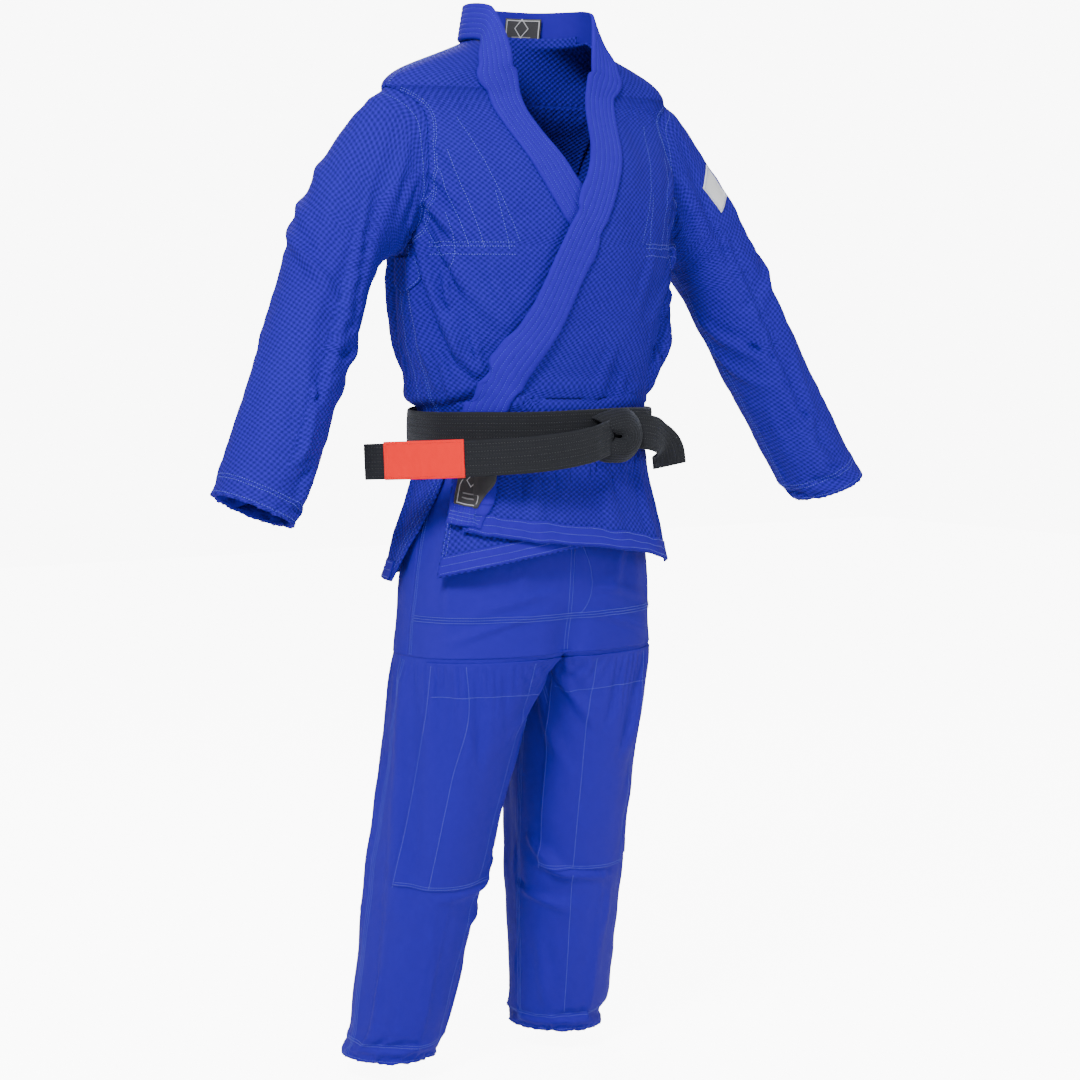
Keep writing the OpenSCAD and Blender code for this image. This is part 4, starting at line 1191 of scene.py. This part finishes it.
def build_lapel_end(side):
    name = side_name(side)
    over = (lambda z, v: OVER + 0 * z) if side == LEFT else (lambda z, v: 0 * z)
    grid = lapel_rows(side, -120, -31, 4, over, False)
    piece, outer, n = band_sheet(name + "_lapel_tip", grid, side, BAND_T + 1.2, BAND_ROWS, 0.9, MATERIALS["band"])
    declare(piece, outer, name + "_lapel_end", [name + "_skirt"])
    skirt_blend(piece)
    stitch_band(outer, n, BAND_ROWS, "front_skirts")
    for row in (2, 4, 6):
        sew("front_skirts", outer[row, 2:-2] + n[row, 2:-2] * 0.1, n[row, 2:-2], 2.2)


def build_skirt_label():
    form = FORMS["jacket"]
    rows = lapel_rows(LEFT, -95.5, -41.5, 3, lambda z, v: OVER + 0 * z, False)
    share = np.linspace(0.12, 0.88, 36) * (BAND_COLS - 1)
    j = share.astype(int)
    f = (share - j)[None, :, None]
    grid = rows[:, j] * (1 - f) + rows[:, np.minimum(j + 1, BAND_COLS - 1)] * f
    n = unit(np.cross(np.gradient(grid, axis=1), np.gradient(grid, axis=0)))
    outer, inner = grid + n * (BAND_T + 1.2 + 1.1), grid + n * (BAND_T + 1.2 + 0.1)
    piece = sheet("plain_skirt_label", outer, inner, MATERIALS["label"])
    declare(piece, outer, "skirt_label", ["left_lapel_end"])
    skirt_blend(piece)


def build_back_skirt():
    form = FORMS["jacket"]
    t = np.linspace(0, 1, 110)
    z = mid(SKIRT_TOP, -196.0, t)
    low = mid(75.0, 99.0, t)
    piece, grid = panel("back_skirt_panel", form, z, low, 360 - low, 210, 0.0, CLOTH, MATERIALS["weave"])
    declare(piece, grid, "back_skirt", ["jacket_back"])
    skirt_blend(piece)
    z = np.linspace(-195, -171, 12)
    tape, grid = panel("back_hem_facing", form, z, 101 + 0 * z, 259 + 0 * z, 190, CLOTH + 0.05, 1.3, MATERIALS["tape"])
    declare(tape, grid, "back_hem_tape", ["back_skirt"])
    skirt_blend(tape)
    run = np.linspace(101.5, 258.5, 260)
    for rise in (3.5, 13.0, 22.5):
        seam_rows(-196 + rise + 0 * run, run, form, CLOTH + 1.3, "back_skirts")
    t = np.linspace(0.02, 0.9, 90)
    for k in (1, -1):
        for inset in (2.5, 6.0):
            seam_rows(mid(SKIRT_TOP, -196.0, t), k * (mid(75.0, 99.0, t) + inset), form, CLOTH, "back_skirts")
    grids = []
    for k in (1, -1):
        s, c = np.linspace(0, 1, 22)[:, None], np.linspace(0, 1, 22)[None, :]
        z = mid(-64.6, -34.6, s) + 0 * c
        v = mid(92.0, 86.0, s) + 12 * c
        grids.append((form.at(z, k * v, CLOTH + 1.9)[0], form.at(z, k * v, CLOTH + 0.1)[0]))
    for k, (outer, inner) in zip(("left", "right"), grids):
        patch = sheet(k + "_vent_patch", outer, inner, MATERIALS["tape"])
        declare(patch, outer, "vent_patches", ["back_skirt"])
        skirt_blend(patch)
        for e0, e1 in (((1, 1), (1, -2)), ((1, -2), (-2, -2)), ((-2, -2), (-2, 1)), ((-2, 1), (1, 1)), ((1, 1), (-2, -2)), ((1, -2), (-2, 1))):
            line = np.linspace(outer[e0], outer[e1], 14)
            sew("back_skirts", line, np.repeat(unit(outer - inner)[11, 11][None], 14, axis=0), 2.8)


# --- Belt ---

BELT_ROWS = 9


def belt_lift(angle):
    """The wraps stand off the body by the stack of layers in front, and lie close behind."""
    return 16.5 - 5.0 * step(92, 125, np.abs(turned(angle)))


def build_wraps():
    cols, high = 320, 46
    v = np.arange(cols)[None, :] * 360 / cols
    s = np.linspace(-1, 1, high)
    profile = band_profile(high, BELT_ROWS, 0.55) - 0.8 * np.abs(s) ** 12
    for name, lift, raised in (("inner", 0.0, 0.0), ("outer", 3.1, 2.0)):
        z = raised + s[:, None] * BELT_W / 2 + 0 * v
        sway = 1.2 * np.sin(np.radians(v * 2 + 40)) + 0.7 * np.sin(np.radians(v * 5))
        base = body_point(JACKET_SHAPE, 0 * z, v + 0 * z)
        base[..., 2] = z + sway
        form = Form(np.arange(high), base, 1)
        n = form.plain
        n[..., 2] *= 0.2
        n = unit(n)
        bulge = 0.7 * np.cos(np.pi * s / 2)[:, None] + 0.5 * np.sin(np.radians(v * 7 + 30)) * s[:, None]
        low = belt_lift(v) + lift
        inner = base + n * (low + bulge)[..., None]
        outer = base + n * (low + bulge + BELT_T + profile[:, None])[..., None]
        piece = sheet("belt_%s_turn" % name, outer, inner, MATERIALS["belt"], closed=True)
        declare(piece, outer, "belt_%s_wrap" % name, ["jacket_back"], closed=True)
        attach(piece, "jacket")
        for k in range(1, BELT_ROWS + 1):
            j = round(k / (BELT_ROWS + 1) * (high - 1))
            if name == "outer":
                ring = np.concatenate([outer[j], outer[j][:1]])
                sew("jacket", ring, np.concatenate([n[j], n[j][:1]]), 3.6, thread="dark_thread")


def strap_grid(path, width, cols, rows, twist=((0, 0), (1, 0))):
    """A strap on edge along a path: points across it at each step, and the normals of its front face."""
    path = np.asarray(path, float)
    reach = np.concatenate([[0], np.cumsum(np.linalg.norm(np.diff(path, axis=0), axis=-1))])
    line = smooth_between(np.linspace(0, reach[-1], rows), reach, path)
    ahead = unit(np.gradient(line, axis=0))
    n = unit(np.stack([ahead[:, 1], -ahead[:, 0], 0 * ahead[:, 0]], axis=-1))
    n = np.where(n[:, 1:2] > 0, -n, n)
    up = unit(np.cross(ahead, n))
    up = np.where(up[:, 2:3] < 0, -up, up)
    turn = np.radians(table(np.linspace(0, 1, rows), twist))[:, None]
    up, n = up * np.cos(turn) + n * np.sin(turn), n * np.cos(turn) - up * np.sin(turn)
    s = np.linspace(-1, 1, cols)[None, :, None] * width / 2
    return line[:, None] + up[:, None] * s, np.repeat(n[:, None], cols, axis=1), line


def build_tail(name, path, lead, width, body, node, twist):
    grid, n, line = strap_grid((lead, *path), width, 46, 150, twist)
    t, s = np.linspace(0, 1, 150)[:, None], np.linspace(-1, 1, 46)[None, :]
    wave = 1.6 * np.sin(t * 7 + s * 0.8) * step(0.05, 0.3, t) * (1 - step(0.7, 1, t))
    profile = band_profile(46, BELT_ROWS, 0.55)[None, :] - 0.8 * np.abs(s) ** 12
    centre = grid + n * wave[..., None]
    outer, inner = centre + n * (BELT_T / 2 + profile)[..., None], centre - n * (BELT_T / 2 + profile * 0.8)[..., None]
    piece = sheet(name, outer, inner, MATERIALS["belt"])
    declare(piece, outer, node, ["belt_knot"])
    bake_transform(piece)
    for k in range(1, BELT_ROWS + 1):
        j = round(k / (BELT_ROWS + 1) * 45)
        sew(body, outer[:, j], n[:, j], 3.6, thread="dark_thread")
        sew(body, inner[:, j], -n[:, j], 3.6, thread="dark_thread")
    return centre, n, line


def build_bar(centre, n, line):
    """The bar is a wide cloth sleeve round the long tail, sewn at both ends."""
    from_tip = np.concatenate([np.cumsum(np.linalg.norm(np.diff(line[::-1], axis=0), axis=-1))[::-1], [0]])
    rows = np.linspace(125, 25, 90)
    index = np.interp(rows, from_tip[::-1], np.arange(len(line))[::-1])

    def pick(g):
        i = np.minimum(index.astype(int), len(line) - 2)
        f = (index - i)[:, None]
        return g[i] * (1 - f) + g[i + 1] * f

    middle = pick(centre[:, 23])
    up = unit(pick(centre[:, -1]) - pick(centre[:, 0]))
    out = unit(pick(n[:, 23]))
    turn = np.linspace(0, 2 * math.pi, 121)[:-1]
    half_w, half_t = BELT_W / 2 + 1.5, BELT_T / 2 + 1.7
    across = half_w * signed_power(np.sin(turn), 0.25)
    depth = half_t * signed_power(np.cos(turn), 0.35)
    ripple = 0.12 * np.sin(np.linspace(0, 26, 90))[:, None]
    outer = middle[:, None] + up[:, None] * across[None, :, None] + out[:, None] * (depth[None] * (1 + ripple))[..., None]
    inner = middle[:, None] + (outer - middle[:, None]) * 1.0
    inner -= up[:, None] * (np.sign(across) * 0.9)[None, :, None] + out[:, None] * (np.sign(depth) * 1.0)[None, :, None]
    piece = sheet("rank_bar_cloth", outer, inner, MATERIALS["bar"], closed=True)
    declare(piece, outer, "rank_bar", ["belt_long_tail"], closed=True)
    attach(piece, "long_tail")
    for sign in (1, -1):
        face = middle[:, None] + up[:, None] * np.linspace(-half_w + 2, half_w - 2, 40)[None, :, None] + out[:, None] * (sign * (half_t + 0.05))
        normals = out * sign
        for row in (3, -4):
            sew("long_tail", face[row], np.repeat(normals[row][None], 40, axis=0), 2.8, thread="red_thread")
        for col in (1, -2):
            sew("long_tail", face[3:-3, col], normals[3:-3], 2.8, thread="red_thread")


def build_knot():
    """The belt turns over itself in a fan: a strap that comes in along the top, swings round the mouth of the
    knot and runs back to the left under the long tail."""
    rows, cols = 190, 70
    t, s = np.linspace(0, 1, rows)[:, None], np.linspace(0, 1, cols)[None, :]
    mouth = np.array([43.0, -9.0])
    # Along the fan: the way each row points from the mouth, how far it reaches, and how far out its hump stands.
    way = np.radians(table(t, ((0, 128), (0.2, 96), (0.4, 50), (0.6, 0), (0.8, -52), (0.92, -98), (1, -142))))
    reach = table(t, ((0, 37), (0.2, 37), (0.4, 46), (0.6, 51), (0.8, 46), (0.92, 38), (1, 40)))
    hump = table(t, ((0, 17), (0.2, 23), (0.45, 27), (0.7, 27), (0.9, 22), (1, 15)))
    out = 2.2 + (reach - 2.2) * s
    x = mouth[0] + out * np.cos(way) - 9 * (1 - t) ** 3 * s
    z = mouth[1] + out * np.sin(way) * 0.9 + 3.0 * s * np.cos(way)
    bulge = np.sin(np.pi * (0.24 + 0.76 * s)) ** 0.75 / 0.98
    wraps = 121.5 - 0.0042 * np.maximum(0, x - 44) ** 2
    pleat = 1.3 * np.sin(s * 6.0 + t * 4.5) * np.sin(np.pi * t) * step(0.1, 0.4, s)
    y = -(wraps + 2 + hump * bulge + pleat)
    grid = np.stack([x, y, z], axis=-1)
    n = unit(np.cross(np.gradient(grid, axis=1), np.gradient(grid, axis=0)))
    n = np.where(n[..., 1:2] > 0, -n, n)
    profile = band_profile(cols, BELT_ROWS, 0.7) - 0.9 * np.abs(2 * s[0] - 1) ** 14
    outer = grid + n * (1.2 + profile)[None, :, None]
    piece = sheet("knot_fold", outer, grid - n * 1.4, MATERIALS["belt"])
    finish_knot(piece)
    for k in range(1, BELT_ROWS + 1):
        j = round(k / (BELT_ROWS + 1) * (cols - 1))
        sew("jacket", outer[4:-4, j], n[4:-4, j], 3.6, thread="dark_thread")
    # A flat core fills the knot behind the fan, and the strap under it lies straight across the wraps.
    phi, level = np.linspace(0, 2 * math.pi, 97)[:-1][None, :], np.linspace(0, 1, 24)[:, None]
    size = np.sin(np.pi / 2 * (1 - level ** 3)) + 0.001
    core = np.stack([
        54 + 31 * size * signed_power(np.cos(phi), 0.8),
        -119 - 17 * level + 0 * phi + 0.0 * size,
        -5 + 26 * size * signed_power(np.sin(phi), 0.8),
    ], axis=-1)
    core[..., 1] -= 0.02 * (core[..., 0] - 54) * 5
    body = sheet("knot_core", core[::-1], core[::-1] + np.array([0, 2.0, 0]), MATERIALS["belt"], closed=True)
    finish_knot(body)


def finish_knot(piece):
    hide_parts("belt_knot")
    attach(piece, "jacket")


def fix_normals(piece):
    """Turns every face outwards, as Recalculate Outside does."""
    bpy.ops.object.select_all(action="DESELECT")
    bpy.context.view_layer.objects.active = piece
    piece.select_set(True)
    bpy.ops.object.mode_set(mode="EDIT")
    bpy.ops.mesh.select_all(action="SELECT")
    bpy.ops.mesh.normals_make_consistent(inside=False)
    bpy.ops.object.mode_set(mode="OBJECT")
    piece.select_set(False)


# --- Trousers ---


def build_seat():
    form = FORMS["seat"]
    z = np.concatenate([np.linspace(-290, -60, 105), np.linspace(-57, 27.1, 22)])
    for name, low in (("front", -89.95), ("back", 90.05)):
        edge = np.full(len(z), low)
        piece, grid = panel("seat_%s_panel" % name, form, z, edge, edge + 179.9, 190, -DRILL, DRILL, MATERIALS["drill"])
        declare(piece, grid, "seat_" + name, ["waistband"])
        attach(piece, "trousers")
    z = np.linspace(28, 62, 24)
    band, grid = tube("waistband_casing", form, z, 240, -DRILL, 2.0, MATERIALS["drill"])
    declare(band, grid, "waistband", ["seat_front", "seat_back"], closed=True)
    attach(band, "trousers")
    ring = np.linspace(0, 360, 260)
    for height in (31.0, 59.0):
        seam_rows(np.full(260, height), ring, form, 2.0, "trousers")
    around = np.linspace(-86, 86, 200)
    seam_rows(np.full(200, -241.0), around, form, 0.9, "trousers", (-3.4, 0.0, 3.4))
    for angle in (-88.0, 88.0):
        seam_rows(np.linspace(-288, 26, 160), np.full(160, angle), form, 0.1, "trousers", (-2, 2))
    for shift in (0.0, 180.0):
        seam_rows(np.linspace(-286, 26, 160), np.full(160, shift), form, 0.1, "trousers", (-2.5, 2.5))
    # The flap of the front opening.
    t = np.linspace(0, 1, 60)
    seam_rows(-150 - 90 * t, 3 + 9 * np.sin(t * 1.5) - 9 * t**3, form, 0.1, "trousers")
    build_eyelets(form)


def build_eyelets(form):
    """Two metal eyelets in the waistband's front, where a drawcord comes out."""
    for side in (LEFT, RIGHT):
        place, lean = form.at(45.0, side * 5.6, 2.2)
        bpy.ops.object.select_all(action="DESELECT")
        turn = Vector(lean).to_track_quat("Z", "Y").to_euler()
        bpy.ops.mesh.primitive_torus_add(
            major_radius=0.0052, minor_radius=0.0012, major_segments=40, minor_segments=14,
            location=tuple(place * MM), rotation=turn,
        )
        ring = bpy.context.object
        ring.name = side_name(side) + "_eyelet"
        bpy.ops.object.transform_apply(location=True, rotation=True, scale=True)
        bpy.ops.object.shade_smooth()
        ring.data.materials.append(MATERIALS["eyelet"])
        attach(ring, "trousers")
        ring.select_set(False)


def build_crotch_gusset():
    t, s = np.linspace(-1, 1, 90)[:, None], np.linspace(-1, 1, 36)[None, :]
    half = 26 * (1.05 - np.abs(t) * 0.75)
    x = s * half
    y = mid(-89.0, 102.0, (t + 1) / 2) - t * 3
    z = -287 + 9 * (1 - t * t) - 2.0 * s * s * (1 - t * t) + 0 * x
    inner = np.stack([x, y + 0 * x, z], axis=-1)
    outer = inner + np.array([0, 0, -2.0])
    piece = sheet("crotch_gusset_cloth", outer, inner, MATERIALS["drill"])
    declare(piece, outer, "crotch_gusset", ["seat_front", "seat_back"])
    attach(piece, "trousers")


def leg_blend(piece, side):
    side_name(side) + "_trouser_leg"
    side * 0.09
    side * 0.09
    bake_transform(piece)


def build_leg(side):
    form, name = FORMS["leg", side], side_name(side)
    u = np.concatenate([np.linspace(0, 60, 40), np.linspace(62.5, LEG_LEN, 185)])
    piece, grid = tube(name + "_leg_cloth", form, u, 190, -DRILL, 0.0, MATERIALS["drill"])
    declare(piece, grid, name + "_leg", ["seat_front", "seat_back"], closed=True)
    leg_blend(piece, side)
    hem, grid = tube(
        name + "_leg_facing", form, np.linspace(LEG_LEN - 27, LEG_LEN - 0.5, 14), 120, -DRILL - 1.8, -DRILL - 0.2, MATERIALS["tape"]
    )
    declare(hem, grid, name + "_leg_hem", [name + "_leg"], closed=True)
    leg_blend(hem, side)
    # The knee patch covers the front from under the crotch to below the knee.
    bottom = 0.56 * LEG_LEN
    uu, share = np.linspace(6, bottom, 150)[:, None], np.linspace(-1, 1, 110)[None, :]
    vv = 60 * share + 4 * (1 - step(0, 60, uu)) + 0 * uu
    uu = uu + 0 * vv + 7 * share**2 * (uu / bottom) * -1
    inner, _ = form.at(uu, vv, 0.1)
    outer, _ = form.at(uu, vv, 1.5)
    patch = sheet(name + "_knee_overlay", outer, inner, MATERIALS["drill"])
    declare(patch, outer, name + "_knee_patch", [name + "_leg"])
    leg_blend(patch, side)
    group = "leg_" + name
    down = np.linspace(10, bottom - 3, 160)
    for edge in (-58.6, 58.6):
        seam_rows(down, np.full(160, edge), form, 1.5, group)
    for edge in (-28.0, 26.0):
        seam_rows(down, np.full(160, edge), form, 1.5, group)
    curve = np.linspace(-58, 58, 120)
    for back in (2.0, 5.2):
        seam_rows(bottom - back - 7 * (curve / 60) ** 2, curve, form, 1.5, group)
    for drop in (50.0,):
        seam_rows(np.full(110, drop), np.linspace(-56, 56, 110), form, 1.5, group)
    low = np.linspace(bottom + 4, LEG_LEN - 30, 120)
    seam_rows(low, np.full(120, -28.0), form, 0.0, group)
    seam_rows(np.linspace(6, LEG_LEN - 6, 240), np.full(240, 94.0), form, 0.0, group, (-4, 0, 4), 2.8)
    seam_rows(np.linspace(6, LEG_LEN - 6, 240), np.full(240, 276.0), form, 0.0, group, (-3, 0, 3), 2.8)
    ring = np.linspace(0, 360, 220)
    for back in (3.5, 24.0, 27.0):
        seam_rows(np.full(220, LEG_LEN - back), ring, form, 0.0, group)
    t = np.linspace(0, 1, 60)
    seam_rows(4 + 116 * t, -74 + 24 * t, form, 0.0, group, (-1.8, 1.8))


# --- Stage ---


def area_light(name, place, target, size, power, colour=(1, 1, 1)):
    light = bpy.data.lights.new(name, "AREA")
    light.shape, light.size, light.energy, light.color = "SQUARE", size, power, colour
    lamp = bpy.data.objects.new(name, light)
    lamp.location = place
    lamp.rotation_euler = (Vector(target) - Vector(place)).to_track_quat("-Z", "Y").to_euler()
    bpy.context.scene.collection.objects.link(lamp)


def build_stage():
    bpy.ops.object.select_all(action="DESELECT")
    bpy.ops.mesh.primitive_plane_add(size=14, location=(0, 0, -0.875))
    floor = bpy.context.object
    floor.name = "studio_floor"
    f = Finish("studio_paper", Roughness=0.9, Base_Color=(0.98, 0.98, 0.98, 1), Emission_Strength=9.0)
    nodes, links = f.material.node_tree.nodes, f.material.node_tree.links
    seen = nodes.new("ShaderNodeLightPath")
    links.new(seen.outputs["Is Camera Ray"], f.shader.inputs["Emission Color"])
    floor.data.materials.append(f.material)
    floor.select_set(False)
    world = bpy.data.worlds.new("studio_air")
    world.use_nodes = True
    nodes, links = world.node_tree.nodes, world.node_tree.links
    air, bright, mix = nodes["Background"], nodes.new("ShaderNodeBackground"), nodes.new("ShaderNodeMixShader")
    air.inputs[0].default_value, air.inputs[1].default_value = (1.0, 1.0, 1.0, 1), 0.5
    bright.inputs[0].default_value, bright.inputs[1].default_value = (1.0, 1.0, 1.0, 1), 9.0
    links.new(nodes.new("ShaderNodeLightPath").outputs["Is Camera Ray"], mix.inputs[0])
    links.new(air.outputs[0], mix.inputs[1])
    links.new(bright.outputs[0], mix.inputs[2])
    links.new(mix.outputs[0], nodes["World Output"].inputs[0])
    bpy.context.scene.world = world
    area_light("key_softbox", (-2.3, -1.7, 2.3), (0, 0, 0.1), 0.8, 165)
    area_light("fill_softbox", (1.6, -2.9, 0.8), (0, 0, 0.1), 1.6, 34)
    area_light("rim_softbox", (0.9, 2.2, 1.8), (0, 0, 0.1), 1.4, 50)


def build_camera():
    azimuth, elevation, distance = math.radians(-35), math.radians(4.97), 3.4
    aim = Vector((0.0116, -0.0081, -0.1495))
    away = Vector((
        math.sin(azimuth) * math.cos(elevation), -math.cos(azimuth) * math.cos(elevation), math.sin(elevation),
    ))
    lens = bpy.data.cameras.new("viewing_camera")
    lens.lens, lens.sensor_width = 86.1, 36
    camera = bpy.data.objects.new("viewing_camera", lens)
    camera.location = aim + away * distance
    camera.rotation_euler = (-away).to_track_quat("-Z", "Y").to_euler()
    bpy.context.scene.collection.objects.link(camera)
    bpy.context.scene.camera = camera


# --- Add-on ---


class UniformLook(bpy.types.PropertyGroup):
    """Colours and sizes that a user would change."""

    jacket_colour: bpy.props.FloatVectorProperty(
        name="Jacket colour", description="Colour of the woven jacket cloth", subtype="COLOR", size=3,
        default=(0.022, 0.0025, 0.36), min=0, max=1,
    )
    trouser_colour: bpy.props.FloatVectorProperty(
        name="Trouser colour", description="Colour of the trouser drill", subtype="COLOR", size=3,
        default=(0.020, 0.0035, 0.36), min=0, max=1,
    )
    belt_colour: bpy.props.FloatVectorProperty(
        name="Belt colour", description="Colour of the cotton belt", subtype="COLOR", size=3,
        default=(0.008, 0.009, 0.012), min=0, max=1,
    )
    bar_colour: bpy.props.FloatVectorProperty(
        name="Bar colour", description="Colour of the bar on the long tail", subtype="COLOR", size=3,
        default=(1.0, 0.0, 0.0), min=0, max=1,
    )
    grain_pitch: bpy.props.FloatProperty(
        name="Grain pitch", description="Distance between neighbouring grains of the pearl weave", subtype="DISTANCE",
        unit="LENGTH", default=0.0042, min=0.002, max=0.008,
    )


class BuildOperator:
    """What every build step shares: it lists its own functions and runs them in order."""

    bl_options = {"REGISTER", "UNDO"}
    steps = ()

    def execute(self, context):
        for function, arguments in self.steps:
            function(*arguments)
        return {"FINISHED"}


class UNIFORM_OT_finishes(BuildOperator, bpy.types.Operator):
    """Make the cloth, tape, belt and label finishes"""

    bl_idname, bl_label = "uniform.finishes", "Finishes"

    def execute(self, context):
        make_finishes(context.scene.uniform_look)
        return {"FINISHED"}


class UNIFORM_OT_forms(BuildOperator, bpy.types.Operator):
    """Lay out the folded forms that the pieces are cut from"""

    bl_idname, bl_label = "uniform.forms", "Folded forms"
    steps = (
        (make_jacket_form, ()), (make_seat_form, ()), (make_sleeve_form, (LEFT,)), (make_sleeve_form, (RIGHT,)),
        (make_leg_form, (LEFT,)), (make_leg_form, (RIGHT,)),
    )


class UNIFORM_OT_jacket(BuildOperator, bpy.types.Operator):
    """Build the jacket's back, fronts, gussets and neck label"""

    bl_idname, bl_label = "uniform.jacket", "Jacket panels"
    steps = (
        (build_back, ()), (build_front, (RIGHT,)), (build_front, (LEFT,)), (build_gusset, (RIGHT,)),
        (build_gusset, (LEFT,)), (build_neck_label, ()),
    )


class UNIFORM_OT_lapels(BuildOperator, bpy.types.Operator):
    """Build the stitched lapel bands and collar"""

    bl_idname, bl_label = "uniform.lapels", "Lapels"
    steps = ((build_lapel, (RIGHT,)), (build_lapel, (LEFT,)))


class UNIFORM_OT_sleeves(BuildOperator, bpy.types.Operator):
    """Build both sleeves, their cuff facings and the sleeve patch"""

    bl_idname, bl_label = "uniform.sleeves", "Sleeves"
    steps = ((build_sleeve, (RIGHT,)), (build_sleeve, (LEFT,)), (build_sleeve_patch, ()))


class UNIFORM_OT_skirts(BuildOperator, bpy.types.Operator):
    """Build the skirts below the belt with their facings, lapel ends and label"""

    bl_idname, bl_label = "uniform.skirts", "Skirts"
    steps = (
        (build_back_skirt, ()), (build_front_skirt, (RIGHT,)), (build_front_skirt, (LEFT,)),
        (build_lapel_end, (RIGHT,)), (build_lapel_end, (LEFT,)), (build_skirt_label, ()),
    )


def build_tails():
    centre, n, line = build_tail("long_tail_strap", LONG_TAIL, (38, -133, -9), BELT_W, "long_tail", "belt_long_tail", ((0, 0), (1, 0)))
    build_bar(centre, n, line)
    build_tail("short_tail_strap", SHORT_TAIL, (74, -130, -3), BELT_W, "short_tail", "belt_short_tail",
        ((0, 0), (0.45, 4), (0.8, 62), (1, 72)))


class UNIFORM_OT_belt(BuildOperator, bpy.types.Operator):
    """Build the belt's turns, knot, tails and bar"""

    bl_idname, bl_label = "uniform.belt", "Belt"
    steps = ((build_wraps, ()), (build_knot, ()), (build_tails, ()))


class UNIFORM_OT_trousers(BuildOperator, bpy.types.Operator):
    """Build the trousers' waistband, seat, gusset, legs and knee patches"""

    bl_idname, bl_label = "uniform.trousers", "Trousers"
    steps = ((build_seat, ()), (build_crotch_gusset, ()), (build_leg, (RIGHT,)), (build_leg, (LEFT,)))


def build_stitches():
    def ride_jacket(piece):
        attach(piece, "jacket")

    follow = {
        "jacket": ride_jacket,
        "trousers": lambda piece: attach(piece, "trousers"),
        "sleeve_left": lambda piece: sleeve_blend(piece, LEFT),
        "sleeve_right": lambda piece: sleeve_blend(piece, RIGHT),
        "leg_left": lambda piece: leg_blend(piece, LEFT),
        "leg_right": lambda piece: leg_blend(piece, RIGHT),
        "front_skirts": lambda piece: skirt_blend(piece),
        "back_skirts": lambda piece: skirt_blend(piece),
        "long_tail": lambda piece: tail_blend(piece),
        "short_tail": lambda piece: tail_blend(piece),
    }
    for (group, thread), rows in sorted(STITCHES.items()):
        piece = stitch_mesh("%s_%s_stitches" % (group, thread), rows, MATERIALS[thread])
        follow[group](piece)


def tail_blend(piece):
    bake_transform(piece)


class UNIFORM_OT_stitches(BuildOperator, bpy.types.Operator):
    """Sew every kept row of stitches"""

    bl_idname, bl_label = "uniform.stitches", "Stitches"
    steps = ((build_stitches, ()),)


class UNIFORM_OT_stage(BuildOperator, bpy.types.Operator):
    """Set the floor, the soft lights and the camera"""

    bl_idname, bl_label = "uniform.stage", "Stage"
    steps = ((build_stage, ()), (build_camera, ()))


STEPS = (
    UNIFORM_OT_finishes, UNIFORM_OT_forms, UNIFORM_OT_jacket, UNIFORM_OT_lapels, UNIFORM_OT_sleeves,
    UNIFORM_OT_skirts, UNIFORM_OT_belt, UNIFORM_OT_trousers, UNIFORM_OT_stitches, UNIFORM_OT_stage,
)


class UNIFORM_PT_panel(bpy.types.Panel):
    """Lists the uniform's colours and build steps"""

    bl_idname, bl_label = "UNIFORM_PT_panel", "Uniform"
    bl_space_type, bl_region_type, bl_category = "VIEW_3D", "UI", "Uniform"

    def draw(self, context):
        look = context.scene.uniform_look
        for name in ("jacket_colour", "trouser_colour", "belt_colour", "bar_colour", "grain_pitch"):
            self.layout.prop(look, name)
        for operator in STEPS:
            self.layout.operator(operator.bl_idname)


CLASSES = (UniformLook,) + STEPS + (UNIFORM_PT_panel,)


def register():
    for cls in CLASSES:
        bpy.utils.register_class(cls)
    bpy.types.Scene.uniform_look = bpy.props.PointerProperty(type=UniformLook)


def unregister():
    del bpy.types.Scene.uniform_look
    for cls in reversed(CLASSES):
        bpy.utils.unregister_class(cls)


def main():
    register()
    bpy.ops.object.select_all(action="DESELECT")
    for operator in STEPS:
        group, name = operator.bl_idname.split(".")
        getattr(getattr(bpy.ops, group), name)()
    bpy.context.view_layer.update()


if __name__ == "__main__":
    main()
